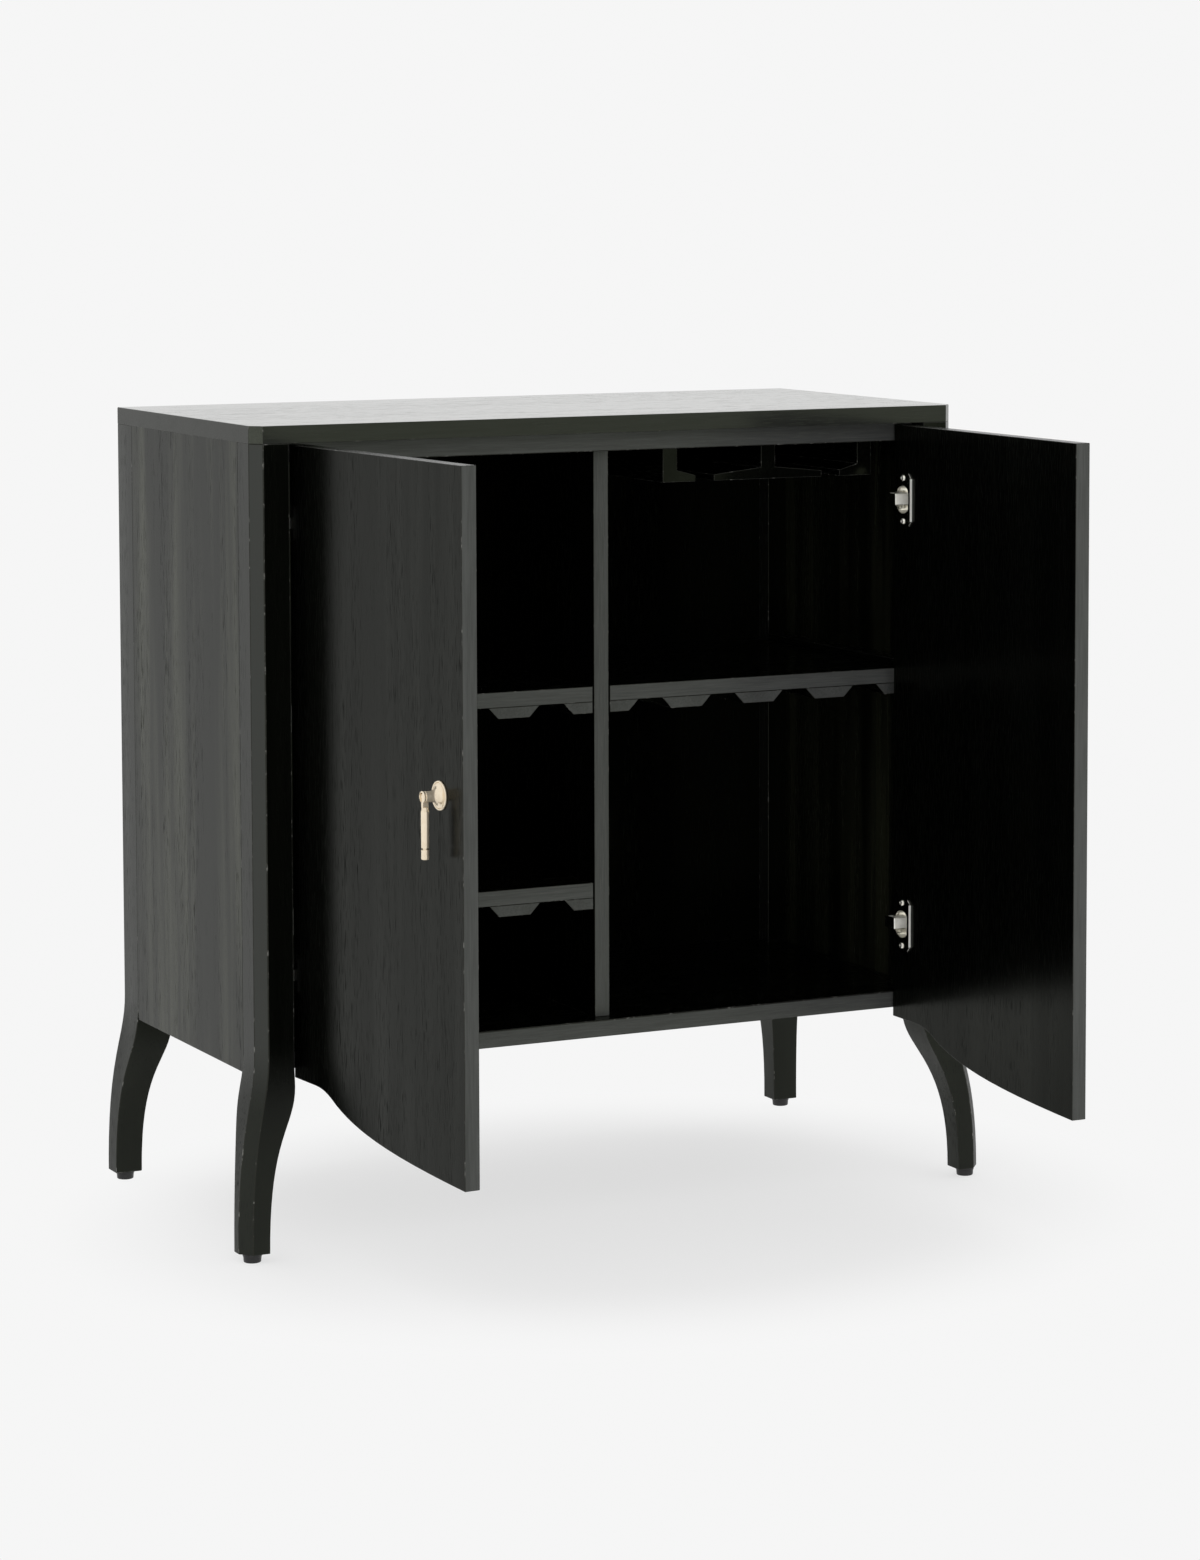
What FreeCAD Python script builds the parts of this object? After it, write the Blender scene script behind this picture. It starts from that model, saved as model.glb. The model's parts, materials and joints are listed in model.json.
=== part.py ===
"""Free-standing bar cabinet with two inset doors, bottle shelves and a stemware rack.

Every piece is drawn in the cabinet's own frame first: X to the right, Y into the depth from the
front plane of the corner posts, Z up from the floor. The doors are drawn closed and then swung open.
"""
import FreeCAD, Part
import math
import os

from FreeCAD import Vector

# Case
CASE_WIDTH = 904.0
CASE_DEPTH = 440.0
TOTAL_HEIGHT = 940.0
CASE_BOTTOM = 204.0
TOP_THICKNESS = 20.0
TOP_ROUND = 1.2
SIDE_THICKNESS = 18.0
BACK_THICKNESS = 9.0
BACK_INSET = 16.0
FLOOR_THICKNESS = 20.0
FLOOR_RISE = 4.0
FLOOR_BEVEL = 1.0
DIVIDER_THICKNESS = 19.0
RAIL_DEPTH = 19.2
RAIL_HEIGHT = 23.0

# Corner posts that run down into flared legs
POST_WIDTH = 43.0
POST_DEPTH = 48.0
CORNER_CUT_X = 12.0
CORNER_CUT_Y = 14.0
FOOT_WIDTH = 33.0
FOOT_DEPTH = 28.0
FRONT_FLARE_X = 30.0
FRONT_FLARE_Y = 22.5
REAR_FLARE_X = 18.0
REAR_FLARE_Y = 15.0
KNEE_RISE = 24.0
KNEE_EASE = 56.0
FOOT_EASE = 146.0
INNER_KNEE_DROP = 4.0
INNER_KNEE_EASE = 52.0
INNER_FOOT_EASE = 138.0
GLIDE_HEIGHT = 10.0
GLIDE_RADIUS = 11.0
GLIDE_BEVEL = 1.5

# Loose shelves, each with grooves for bottles cut between the battens below
SHELF_THICKNESS = 18.0
SHELF_END_GAP = 1.7
SHELF_BACK_GAP = 2.0
UPPER_SHELF_TOP = 620.0
LOWER_SHELF_TOP = 388.0
GROOVE_COUNT = 4
END_BATTEN = 37.8
GROOVE_FLOOR = 31.0
GROOVE_SPREAD = 12.7
GROOVE_DEPTH = 13.4
SHELF_RAIL_HEIGHT = 40.0
SHELF_RAIL_LIP = 8.0
PIN_LENGTH = 14.0
PIN_RADIUS = 2.5
PIN_SETBACK = 50.0

# Rails that hold glasses by the foot, under the top
STEM_WIDTH = 19.0
STEM_DROP = 64.0
STEM_BACK_GAP = 10.0
STEM_SPACING = 130.9
SIDE_LEDGE = 24.3
MIDDLE_LEDGE = 63.0
LEDGE_ROOT = 14.0
LEDGE_TIP = 7.5

# Doors
DOOR_THICKNESS = 18.0
DOOR_SIDE_GAP = 2.0
DOOR_TOP_GAP = 2.7
DOOR_MIDDLE_GAP = 3.0
DOOR_HEEL_DROP = 5.5
DOOR_TIP_DROP = 49.5
HEEL_LENGTH = 52.0
SHOULDER_LENGTH = 52.0
SHOULDER_DROP = 13.2
SHOULDER_SLOPE = 0.4
SHOULDER_EASE = 26.0
SWEEP_EASE = 56.0
TIP_EASE = 155.0
TIP_SLOPE = 0.032
LEFT_OPEN_ANGLE = 86.0
RIGHT_OPEN_ANGLE = 90.0
OPEN_LIMIT = 105.0

# Concealed hinges, one pin each
PIVOT_FROM_EDGE = 14.5
PIVOT_FROM_FACE = 6.8
PIVOT_RADIUS = 1.1
PIVOT_CLEARANCE = 0.05
HINGE_FROM_TOP = 89.0
HINGE_FROM_HEEL = 116.0
CUP_FROM_EDGE = 22.5
CUP_RADIUS = 17.4
CUP_WALL = 0.75
CUP_FLOOR = 0.5
CUP_DEPTH = 14.3
CUP_CLEARANCE = 0.1
FLANGE_THICKNESS = 1.6
FLANGE_HEIGHT = 63.0
FLANGE_RIM = 2.6
FLANGE_WIDTH = 29.0
FLANGE_CORNER = 6.0
LIP_WIDTH = 4.5
LIP_HEIGHT = 3.2
ARM_HEIGHT = 13.0
ARM_THICKNESS = 3.0
ARM_EYE_WALL = 1.1
SWING_GAP = 0.7
ARM_FOOT_LENGTH = 17.0
ARM_BEND = 1.0
PLATE_THICKNESS = 2.5
PLATE_FRONT_GAP = 4.5
PLATE_HEIGHT = 48.0
PLATE_CORNER = 5.0
PLATE_BACK_GAP = 3.5
ROD_FLATS = 8
CUP_FLATS = 24
GLIDE_FLATS = 16
SCREW_HEAD_RADIUS = 3.9
SCREW_HEAD_HEIGHT = 1.8
SCREW_RADIUS = 1.75
SCREW_LENGTH = 11.0
DOOR_SCREW_SPACING = 52.0
CASE_SCREW_SPACING = 32.0

# Drop pulls
PULL_FROM_FREE_EDGE = 51.0
PULL_HEIGHT = 565.0
ROSETTE_RADIUS = 16.0
ROSETTE_THICKNESS = 2.2
ROSETTE_TAPER = 1.0
KNOB_RADIUS = 6.5
KNOB_NOSE = 5.0
HANG_OFFSET = 18.0
SLOT_SIDE_GAP = 0.3
SLOT_TOP_GAP = 0.7
SLOT_BACK_GAP = 2.2
TANG_THICKNESS = 4.0
TANG_RADIUS = 4.0
PENDANT_PIN_RADIUS = 1.5
PENDANT_PIN_INSET = 0.7
PENDANT_PIN_CLEARANCE = 0.05
PENDANT_RADIUS = 4.9
PENDANT_GAP = 2.8
PENDANT_LENGTH = 56.0
PENDANT_BEVEL = 1.5
NECK_INSET = 0.7

# Places that follow from the sizes above
SIDE_X = CASE_WIDTH / 2
SIDE_INNER_X = SIDE_X - SIDE_THICKNESS
POST_INNER_X = SIDE_X - POST_WIDTH
REAR_POST_Y = CASE_DEPTH - POST_DEPTH
TOP_UNDERSIDE = TOTAL_HEIGHT - TOP_THICKNESS
FLOOR_UNDERSIDE = CASE_BOTTOM + FLOOR_RISE
FLOOR_TOP = FLOOR_UNDERSIDE + FLOOR_THICKNESS
BACK_FRONT_Y = CASE_DEPTH - BACK_INSET - BACK_THICKNESS
FLANGE_REACH = CUP_RADIUS + FLANGE_RIM
DOOR_CORNER = (-PIVOT_FROM_EDGE, DOOR_THICKNESS - PIVOT_FROM_FACE)
FLANGE_EDGE = (CUP_FROM_EDGE - FLANGE_REACH - PIVOT_FROM_EDGE, DOOR_CORNER[1] + FLANGE_THICKNESS)
SWING_RADIUS = max(math.hypot(*DOOR_CORNER), math.hypot(*FLANGE_EDGE)) + SWING_GAP
FRONT_RECESS = PIVOT_FROM_FACE + SWING_RADIUS
INSIDE_FRONT_Y = FRONT_RECESS + RAIL_DEPTH
DIVIDER_X = DIVIDER_THICKNESS / 2
BAY_MIDDLE_X = (DIVIDER_X + SIDE_INNER_X) / 2
SHELF_INNER_X = DIVIDER_X + SHELF_END_GAP
SHELF_OUTER_X = POST_INNER_X - SHELF_END_GAP
SHELF_BACK_Y = BACK_FRONT_Y - SHELF_BACK_GAP
SHELF_BUILD = SHELF_THICKNESS + GROOVE_DEPTH
GROOVE_PITCH = (SHELF_OUTER_X - SHELF_INNER_X - 2 * END_BATTEN - GROOVE_FLOOR) / (GROOVE_COUNT - 1)
PIN_ROWS_Y = (POST_DEPTH + PIN_SETBACK, REAR_POST_Y - PIN_SETBACK)
DOOR_HINGE_X = -POST_INNER_X + DOOR_SIDE_GAP
DOOR_FREE_X = -DOOR_MIDDLE_GAP / 2
DOOR_TOP = TOP_UNDERSIDE - DOOR_TOP_GAP
DOOR_HEEL_Z = CASE_BOTTOM - DOOR_HEEL_DROP
DOOR_TIP_Z = DOOR_HEEL_Z - DOOR_TIP_DROP
PIVOT = Vector(DOOR_HINGE_X + PIVOT_FROM_EDGE, PIVOT_FROM_FACE, 0)
PIVOT_LENGTH = 2 * math.sqrt(CUP_RADIUS ** 2 - (CUP_FROM_EDGE - PIVOT_FROM_EDGE + PIVOT_RADIUS) ** 2)
HINGES_Z = (DOOR_TOP - HINGE_FROM_TOP, DOOR_HEEL_Z + HINGE_FROM_HEEL)
CUP_X = DOOR_HINGE_X + CUP_FROM_EDGE
PLATE_FRONT_Y = DOOR_THICKNESS + PLATE_FRONT_GAP
PLATE_BACK_Y = POST_DEPTH - PLATE_BACK_GAP
PULL_X = DOOR_FREE_X - PULL_FROM_FREE_EDGE
KNOB_LENGTH = HANG_OFFSET + KNOB_NOSE
PENDANT_TOP = math.hypot(KNOB_RADIUS, KNOB_NOSE) + PENDANT_GAP
PENDANT_PIN_LENGTH = 2 * (KNOB_RADIUS - PENDANT_PIN_INSET)
X_AXIS = Vector(1, 0, 0)
Y_AXIS = Vector(0, 1, 0)
Z_AXIS = Vector(0, 0, 1)


def block(x0, x1, y0, y1, z0, z1):
    """A rectangular board between two corners."""
    return Part.makeBox(x1 - x0, y1 - y0, z1 - z0, Vector(x0, y0, z0))


def curve(*poles):
    """A smooth edge drawn from its first pole to its last."""
    bezier = Part.BezierCurve()
    bezier.setPoles(list(poles))
    return bezier.toShape()


def line(start, end):
    return Part.LineSegment(start, end).toShape()


def rod(radius, length, start, axis, flats=ROD_FLATS):
    """A straight rod drawn with flats that touch the radius, one facing up where the rod lies level."""
    turn = FreeCAD.Rotation(Z_AXIS, axis)
    corner = radius / math.cos(math.pi / flats)
    angles = [2 * math.pi * (i + 0.5) / flats for i in range(flats)]
    ring = [start + turn.multVec(Vector(math.cos(a), math.sin(a), 0)) * corner for a in angles]
    return outline(ring).extrude(axis * length)


def outline(points):
    """A flat face inside straight sides."""
    return Part.Face(Part.makePolygon(list(points) + [points[0]]))


def mirrored(shape):
    """The same piece on the other side of the cabinet's middle plane."""
    return shape.mirror(Vector(0, 0, 0), X_AXIS)


def moved(shape, x, y, z):
    copy = shape.copy()
    copy.translate(Vector(x, y, z))
    return copy


def upright_edges(shape):
    """Straight edges that run along Z."""
    return [e for e in shape.Edges if isinstance(e.Curve, Part.Line) and abs(e.Curve.Direction.z) > 0.999]


def leg_outline(place, out, foot_out, inner, foot_inner):
    """One bandsawn outline of a post and its leg, in the plane that place maps to."""
    knee = CASE_BOTTOM + KNEE_RISE
    inner_knee = CASE_BOTTOM - INNER_KNEE_DROP
    outside = curve(
        place(out, knee),
        place(out, knee - KNEE_EASE),
        place(foot_out, GLIDE_HEIGHT + FOOT_EASE),
        place(foot_out, GLIDE_HEIGHT),
    )
    inside = curve(
        place(foot_inner, GLIDE_HEIGHT),
        place(foot_inner, GLIDE_HEIGHT + INNER_FOOT_EASE),
        place(inner, inner_knee - INNER_KNEE_EASE),
        place(inner, inner_knee),
    )
    edges = [
        line(place(out, TOP_UNDERSIDE), place(out, knee)),
        outside,
        line(place(foot_out, GLIDE_HEIGHT), place(foot_inner, GLIDE_HEIGHT)),
        inside,
        line(place(inner, inner_knee), place(inner, TOP_UNDERSIDE)),
        line(place(inner, TOP_UNDERSIDE), place(out, TOP_UNDERSIDE)),
    ]
    return Part.Face(Part.Wire(edges))


def left_leg(outer_y, inward, flare_x, flare_y):
    """A left post and leg: two outlines sawn out of one length of wood.

    inward is +1 where the depth grows from the outer face into the cabinet, and -1 at the rear.
    """
    foot_x = -SIDE_X - flare_x
    foot_y = outer_y - inward * flare_y
    inner_y = outer_y + inward * POST_DEPTH
    front_face = leg_outline(
        lambda u, z: Vector(u, foot_y, z), -SIDE_X, foot_x, -POST_INNER_X, foot_x + FOOT_WIDTH
    )
    side_face = leg_outline(
        lambda u, z: Vector(foot_x, u, z), outer_y, foot_y, inner_y, foot_y + inward * FOOT_DEPTH
    )
    front_sawn = front_face.extrude(Vector(0, inner_y - foot_y, 0))
    side_sawn = side_face.extrude(Vector(-POST_INNER_X - foot_x, 0, 0))
    return front_sawn.common(side_sawn)


def front_corner_cut():
    """What is cut off the front left corner: the cut keeps its width and follows the leg down the flare."""
    knee = CASE_BOTTOM + KNEE_RISE
    along = Vector(CORNER_CUT_X, -CORNER_CUT_Y, 0)
    start = Vector(-SIDE_X, CORNER_CUT_Y, 0) - along
    end = start - Vector(FRONT_FLARE_X, FRONT_FLARE_Y, 0)
    away = (end - start).normalize() * (CORNER_CUT_X + CORNER_CUT_Y)
    edges = [
        line(start + Z_AXIS * TOP_UNDERSIDE, start + Z_AXIS * knee),
        curve(
            start + Z_AXIS * knee,
            start + Z_AXIS * (knee - KNEE_EASE),
            end + Z_AXIS * (GLIDE_HEIGHT + FOOT_EASE),
            end + Z_AXIS * GLIDE_HEIGHT,
        ),
        line(end + Z_AXIS * GLIDE_HEIGHT, end + away + Z_AXIS * GLIDE_HEIGHT),
        line(end + away + Z_AXIS * GLIDE_HEIGHT, end + away + Z_AXIS * TOP_UNDERSIDE),
        line(end + away + Z_AXIS * TOP_UNDERSIDE, start + Z_AXIS * TOP_UNDERSIDE),
    ]
    return Part.Face(Part.Wire(edges)).extrude(along * 3)


def foot_middle(outer_y, inward, flare_x, flare_y):
    """Where the glide sits under a left foot."""
    x = -SIDE_X - flare_x + FOOT_WIDTH / 2
    y = outer_y - inward * (flare_y - FOOT_DEPTH / 2)
    return Vector(x, y, 0)


def glides(places):
    """Glides with a bevelled lower rim, one under each foot."""
    glide = rod(GLIDE_RADIUS, GLIDE_HEIGHT, Vector(0, 0, 0), Z_AXIS, GLIDE_FLATS)
    rim = [e for e in glide.Edges if e.BoundBox.ZMax < GLIDE_BEVEL]
    glide = glide.makeChamfer(GLIDE_BEVEL, rim)
    solids = [moved(glide, p.x, p.y, 0) for p in places]
    return Part.makeCompound(solids + [moved(glide, -p.x, p.y, 0) for p in places])


def top_panel():
    """The top, with the same cut front corners as the posts under it."""
    x0 = SIDE_X - CORNER_CUT_X
    corners = [
        (-x0, 0), (x0, 0), (SIDE_X, CORNER_CUT_Y), (SIDE_X, CASE_DEPTH),
        (-SIDE_X, CASE_DEPTH), (-SIDE_X, CORNER_CUT_Y),
    ]
    board = outline([Vector(x, y, TOP_UNDERSIDE) for x, y in corners]).extrude(Z_AXIS * TOP_THICKNESS)
    rim = [e for e in board.Edges if e.BoundBox.ZMin > TOTAL_HEIGHT - TOP_ROUND]
    return board.makeFillet(TOP_ROUND, rim)


def floor_panel():
    """The case floor, with a fine bevel where it meets the case."""
    board = block(-POST_INNER_X, POST_INNER_X, FRONT_RECESS, BACK_FRONT_Y, FLOOR_UNDERSIDE, FLOOR_TOP)
    rim = [e for e in board.Edges if e.BoundBox.ZMin > FLOOR_TOP - FLOOR_BEVEL]
    return board.makeChamfer(FLOOR_BEVEL, rim)


def shelf_pins(x_face, direction, shelf_top):
    """The two pins that stand out of one upright under one end of a shelf."""
    axis = X_AXIS * direction
    z = shelf_top - SHELF_BUILD - PIN_RADIUS
    start = x_face - direction * PIN_LENGTH / 2
    return [rod(PIN_RADIUS, PIN_LENGTH, Vector(start, y, z), axis) for y in PIN_ROWS_Y]


def right_shelf(shelf_top):
    return block(
        SHELF_INNER_X, SHELF_OUTER_X, INSIDE_FRONT_Y, SHELF_BACK_Y, shelf_top - SHELF_THICKNESS, shelf_top
    )


def right_battens(shelf_top):
    """Battens under a shelf, with sloped sides that make a groove between each two."""
    under = shelf_top - SHELF_THICKNESS
    foot = under - GROOVE_DEPTH
    middle = (SHELF_INNER_X + SHELF_OUTER_X) / 2
    grooves = [middle + (i - (GROOVE_COUNT - 1) / 2) * GROOVE_PITCH for i in range(GROOVE_COUNT)]
    half = GROOVE_FLOOR / 2
    starts = [SHELF_INNER_X] + [g + half for g in grooves]
    ends = [g - half for g in grooves] + [SHELF_OUTER_X]
    solids = []
    for i, (x0, x1) in enumerate(zip(starts, ends)):
        slope0 = GROOVE_SPREAD if i > 0 else 0.0
        slope1 = GROOVE_SPREAD if i < GROOVE_COUNT else 0.0
        section = outline(
            [
                Vector(x0, INSIDE_FRONT_Y, under),
                Vector(x1, INSIDE_FRONT_Y, under),
                Vector(x1 - slope1, INSIDE_FRONT_Y, foot),
                Vector(x0 + slope0, INSIDE_FRONT_Y, foot),
            ]
        )
        solids.append(section.extrude(Y_AXIS * (SHELF_BACK_Y - INSIDE_FRONT_Y)))
    return Part.makeCompound(solids)


def right_shelf_rail(shelf_top):
    """The rail between the posts that carries a shelf's outer end."""
    z1 = shelf_top + SHELF_RAIL_LIP
    return block(POST_INNER_X, SIDE_INNER_X, POST_DEPTH, REAR_POST_Y, z1 - SHELF_RAIL_HEIGHT, z1)


def stem_rail(x, left_ledge, right_ledge):
    """A rail with a ledge on one or both sides, its upper faces sloping down to the tips."""
    half = STEM_WIDTH / 2
    z0 = TOP_UNDERSIDE - STEM_DROP
    points = []
    for side, ledge in ((-1, left_ledge), (1, right_ledge)):
        face = x + side * half
        tip = face + side * ledge
        edge = [(face, TOP_UNDERSIDE)]
        if ledge:
            edge += [(face, z0 + LEDGE_ROOT), (tip, z0 + LEDGE_TIP)]
        edge += [(tip, z0)]
        points += edge if side < 0 else edge[::-1]
    section = outline([Vector(u, INSIDE_FRONT_Y, z) for u, z in points])
    return section.extrude(Y_AXIS * (BACK_FRONT_Y - STEM_BACK_GAP - INSIDE_FRONT_Y))


def door_blank():
    """A closed left door: flat along the heel, then an ogee that sweeps down to the free edge."""
    x0 = DOOR_HINGE_X
    x1 = x0 + HEEL_LENGTH
    x2 = x1 + SHOULDER_LENGTH
    shoulder_z = DOOR_HEEL_Z - SHOULDER_DROP
    ease = SHOULDER_EASE / 2
    edges = [
        line(Vector(DOOR_FREE_X, 0, DOOR_TOP), Vector(x0, 0, DOOR_TOP)),
        line(Vector(x0, 0, DOOR_TOP), Vector(x0, 0, DOOR_HEEL_Z)),
        line(Vector(x0, 0, DOOR_HEEL_Z), Vector(x1, 0, DOOR_HEEL_Z)),
        curve(
            Vector(x1, 0, DOOR_HEEL_Z),
            Vector(x1 + SHOULDER_EASE, 0, DOOR_HEEL_Z),
            Vector(x2 - ease, 0, shoulder_z + ease * SHOULDER_SLOPE),
            Vector(x2, 0, shoulder_z),
        ),
        curve(
            Vector(x2, 0, shoulder_z),
            Vector(x2 + SWEEP_EASE, 0, shoulder_z - SWEEP_EASE * SHOULDER_SLOPE),
            Vector(DOOR_FREE_X - TIP_EASE, 0, DOOR_TIP_Z + TIP_EASE * TIP_SLOPE),
            Vector(DOOR_FREE_X, 0, DOOR_TIP_Z),
        ),
        line(Vector(DOOR_FREE_X, 0, DOOR_TIP_Z), Vector(DOOR_FREE_X, 0, DOOR_TOP)),
    ]
    return Part.Face(Part.Wire(edges)).extrude(Y_AXIS * DOOR_THICKNESS)


def hinge_cup(z):
    """The drawn cup with its flange on the inner face of a closed left door."""
    inner = DOOR_THICKNESS
    wall = CUP_RADIUS * math.cos(math.pi / CUP_FLATS)
    cup = rod(wall, CUP_DEPTH, Vector(CUP_X, inner, z), Y_AXIS * -1, CUP_FLATS)
    flange_x1 = CUP_X + FLANGE_REACH
    plate = block(
        flange_x1 - FLANGE_WIDTH, flange_x1, inner, inner + FLANGE_THICKNESS,
        z - FLANGE_HEIGHT / 2, z + FLANGE_HEIGHT / 2,
    )
    corners = [e for e in plate.Edges if e.BoundBox.YLength > FLANGE_THICKNESS / 2]
    plate = plate.makeChamfer(FLANGE_CORNER, corners)
    collar = rod(FLANGE_REACH, FLANGE_THICKNESS, Vector(CUP_X, inner, z), Y_AXIS, CUP_FLATS)
    lip = block(
        flange_x1 - LIP_WIDTH, flange_x1, inner, inner + LIP_HEIGHT,
        z - FLANGE_HEIGHT / 2 + FLANGE_CORNER, z + FLANGE_HEIGHT / 2 - FLANGE_CORNER,
    )
    hollow = rod(
        wall - CUP_WALL, CUP_DEPTH - CUP_FLOOR + LIP_HEIGHT,
        Vector(CUP_X, inner - CUP_DEPTH + CUP_FLOOR, z), Y_AXIS, CUP_FLATS,
    )
    holes = [rod(SCREW_RADIUS, FLANGE_THICKNESS, p, Y_AXIS) for p in door_screw_places(z)]
    cup = cup.fuse([plate, collar]).cut(hollow).fuse(lip)
    return cup.cut([pivot_pin(z)] + holes).removeSplitter()


def pivot_pin(z):
    start = PIVOT + Z_AXIS * (z - PIVOT_LENGTH / 2)
    return Part.makeCylinder(PIVOT_RADIUS, PIVOT_LENGTH, start)


def door_screw_places(z):
    """Where the two screws pass through a flange into the door."""
    half = DOOR_SCREW_SPACING / 2
    return [Vector(CUP_X, DOOR_THICKNESS, z + dz) for dz in (-half, half)]


def case_screw_places(z):
    """Where the two screws pass through a mounting plate into the post."""
    half = CASE_SCREW_SPACING / 2
    y = PLATE_BACK_Y - ARM_FOOT_LENGTH / 2
    return [Vector(-POST_INNER_X, y, z + dz) for dz in (-half, half)]


def screw(place, out, plate):
    """A screw through a plate of the given thickness, its flat head outside."""
    seat = place + out * plate
    head = rod(SCREW_HEAD_RADIUS, SCREW_HEAD_HEIGHT, seat, out)
    return head.fuse(rod(SCREW_RADIUS, SCREW_LENGTH, seat, out * -1))


def hinge_arm(z):
    """The bent arm: its eye turns on the pin inside the cup, its foot lies on the mounting plate.

    The bend stays outside the circle that the door's inner corner and the flange draw round the pin.
    """
    eye = PIVOT_RADIUS + PIVOT_CLEARANCE + ARM_EYE_WALL
    widest = max(swung(PIVOT + Vector(*corner, 0), OPEN_LIMIT).x for corner in (DOOR_CORNER, FLANGE_EDGE))
    foot_x = -POST_INNER_X + PLATE_THICKNESS
    reach = widest + SWING_GAP + ARM_THICKNESS
    run = PIVOT.y + SWING_RADIUS
    half = ARM_THICKNESS / 2
    z0 = z - ARM_HEIGHT / 2
    points = [
        (PIVOT.x, PIVOT.y - half), (reach, PIVOT.y - half), (reach, run + ARM_THICKNESS),
        (foot_x + ARM_THICKNESS, run + ARM_THICKNESS), (foot_x + ARM_THICKNESS, PLATE_BACK_Y),
        (foot_x, PLATE_BACK_Y), (foot_x, run), (reach - ARM_THICKNESS, run),
        (reach - ARM_THICKNESS, PIVOT.y + half), (PIVOT.x, PIVOT.y + half),
    ]
    strap = outline([Vector(x, y, z0) for x, y in points]).extrude(Z_AXIS * ARM_HEIGHT)
    bends = [e for e in upright_edges(strap) if e.BoundBox.XMin > reach - ARM_THICKNESS - half]
    strap = strap.makeChamfer(ARM_BEND, bends)
    barrel = Part.makeCylinder(eye, ARM_HEIGHT, Vector(PIVOT.x, PIVOT.y, z0))
    bore = Part.makeCylinder(PIVOT_RADIUS + PIVOT_CLEARANCE, ARM_HEIGHT, Vector(PIVOT.x, PIVOT.y, z0))
    return strap.fuse(barrel).cut(bore).removeSplitter()


def hinge_plate(z):
    """The mounting plate on the post's inner face."""
    plate = block(
        -POST_INNER_X, -POST_INNER_X + PLATE_THICKNESS, PLATE_FRONT_Y, PLATE_BACK_Y,
        z - PLATE_HEIGHT / 2, z + PLATE_HEIGHT / 2,
    )
    corners = [e for e in plate.Edges if e.BoundBox.XLength > PLATE_THICKNESS / 2]
    plate = plate.makeChamfer(PLATE_CORNER, corners)
    holes = [rod(SCREW_RADIUS, PLATE_THICKNESS, p, X_AXIS) for p in case_screw_places(z)]
    return plate.cut(holes)


def pull_rosette():
    face = Vector(PULL_X, 0, PULL_HEIGHT)
    return Part.makeCone(ROSETTE_RADIUS, ROSETTE_RADIUS - ROSETTE_TAPER, ROSETTE_THICKNESS, face, Y_AXIS * -1)


def pull_knob():
    """The short bar that stands out of the rosette, slotted from below for the pendant's tang."""
    root = Vector(PULL_X, -ROSETTE_THICKNESS, PULL_HEIGHT)
    length = KNOB_LENGTH - ROSETTE_THICKNESS
    knob = Part.makeCylinder(KNOB_RADIUS, length, root, Y_AXIS * -1)
    half = TANG_THICKNESS / 2 + SLOT_SIDE_GAP
    slot = block(
        PULL_X - half, PULL_X + half, -KNOB_LENGTH, -HANG_OFFSET + TANG_RADIUS + SLOT_BACK_GAP,
        PULL_HEIGHT - KNOB_RADIUS, PULL_HEIGHT + TANG_RADIUS + SLOT_TOP_GAP,
    )
    return knob.cut([slot, pendant_pin()])


def pendant_pin(clearance=0.0):
    start = Vector(PULL_X - PENDANT_PIN_LENGTH / 2, -HANG_OFFSET, PULL_HEIGHT)
    return Part.makeCylinder(PENDANT_PIN_RADIUS + clearance, PENDANT_PIN_LENGTH, start, X_AXIS)


def pull_pendant():
    """A turned drop with a bevelled end, hanging by a flat tang."""
    axis = Vector(PULL_X, -HANG_OFFSET, PULL_HEIGHT)
    top = -PENDANT_TOP
    foot = top - PENDANT_LENGTH
    profile = [
        (0, top), (PENDANT_RADIUS, top), (PENDANT_RADIUS, foot + PENDANT_BEVEL),
        (PENDANT_RADIUS - PENDANT_BEVEL, foot), (0, foot),
    ]
    drop = outline([axis + Vector(r, 0, z) for r, z in profile]).revolve(axis, Z_AXIS, 360)
    left = PULL_X - TANG_THICKNESS / 2
    eye = Part.makeCylinder(TANG_RADIUS, TANG_THICKNESS, Vector(left, -HANG_OFFSET, PULL_HEIGHT), X_AXIS)
    neck_half = TANG_RADIUS - NECK_INSET
    neck = block(
        left, left + TANG_THICKNESS, -HANG_OFFSET - neck_half, -HANG_OFFSET + neck_half,
        PULL_HEIGHT + top, PULL_HEIGHT,
    )
    return drop.fuse([eye, neck]).cut(pendant_pin(PENDANT_PIN_CLEARANCE)).removeSplitter()


def left_door_pieces():
    """Every piece that turns with the left door, closed."""
    pieces = {"door": door_blank()}
    screws = []
    for z in HINGES_Z:
        mouth = Vector(CUP_X, DOOR_THICKNESS, z)
        bore = Part.makeCylinder(CUP_RADIUS + CUP_CLEARANCE, CUP_DEPTH + CUP_CLEARANCE, mouth, Y_AXIS * -1)
        pair = [screw(place, Y_AXIS, FLANGE_THICKNESS) for place in door_screw_places(z)]
        pieces["door"] = pieces["door"].cut([bore] + pair)
        screws += pair
    pieces["hinge_cups"] = Part.makeCompound([hinge_cup(z) for z in HINGES_Z])
    pieces["hinge_pins"] = Part.makeCompound([pivot_pin(z) for z in HINGES_Z])
    pieces["door_hinge_screws"] = Part.makeCompound(screws)
    pieces["pull_rosette"] = pull_rosette()
    pieces["pull_knob"] = pull_knob()
    pieces["pull_pin"] = pendant_pin()
    pieces["pull_pendant"] = pull_pendant()
    return pieces


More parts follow.
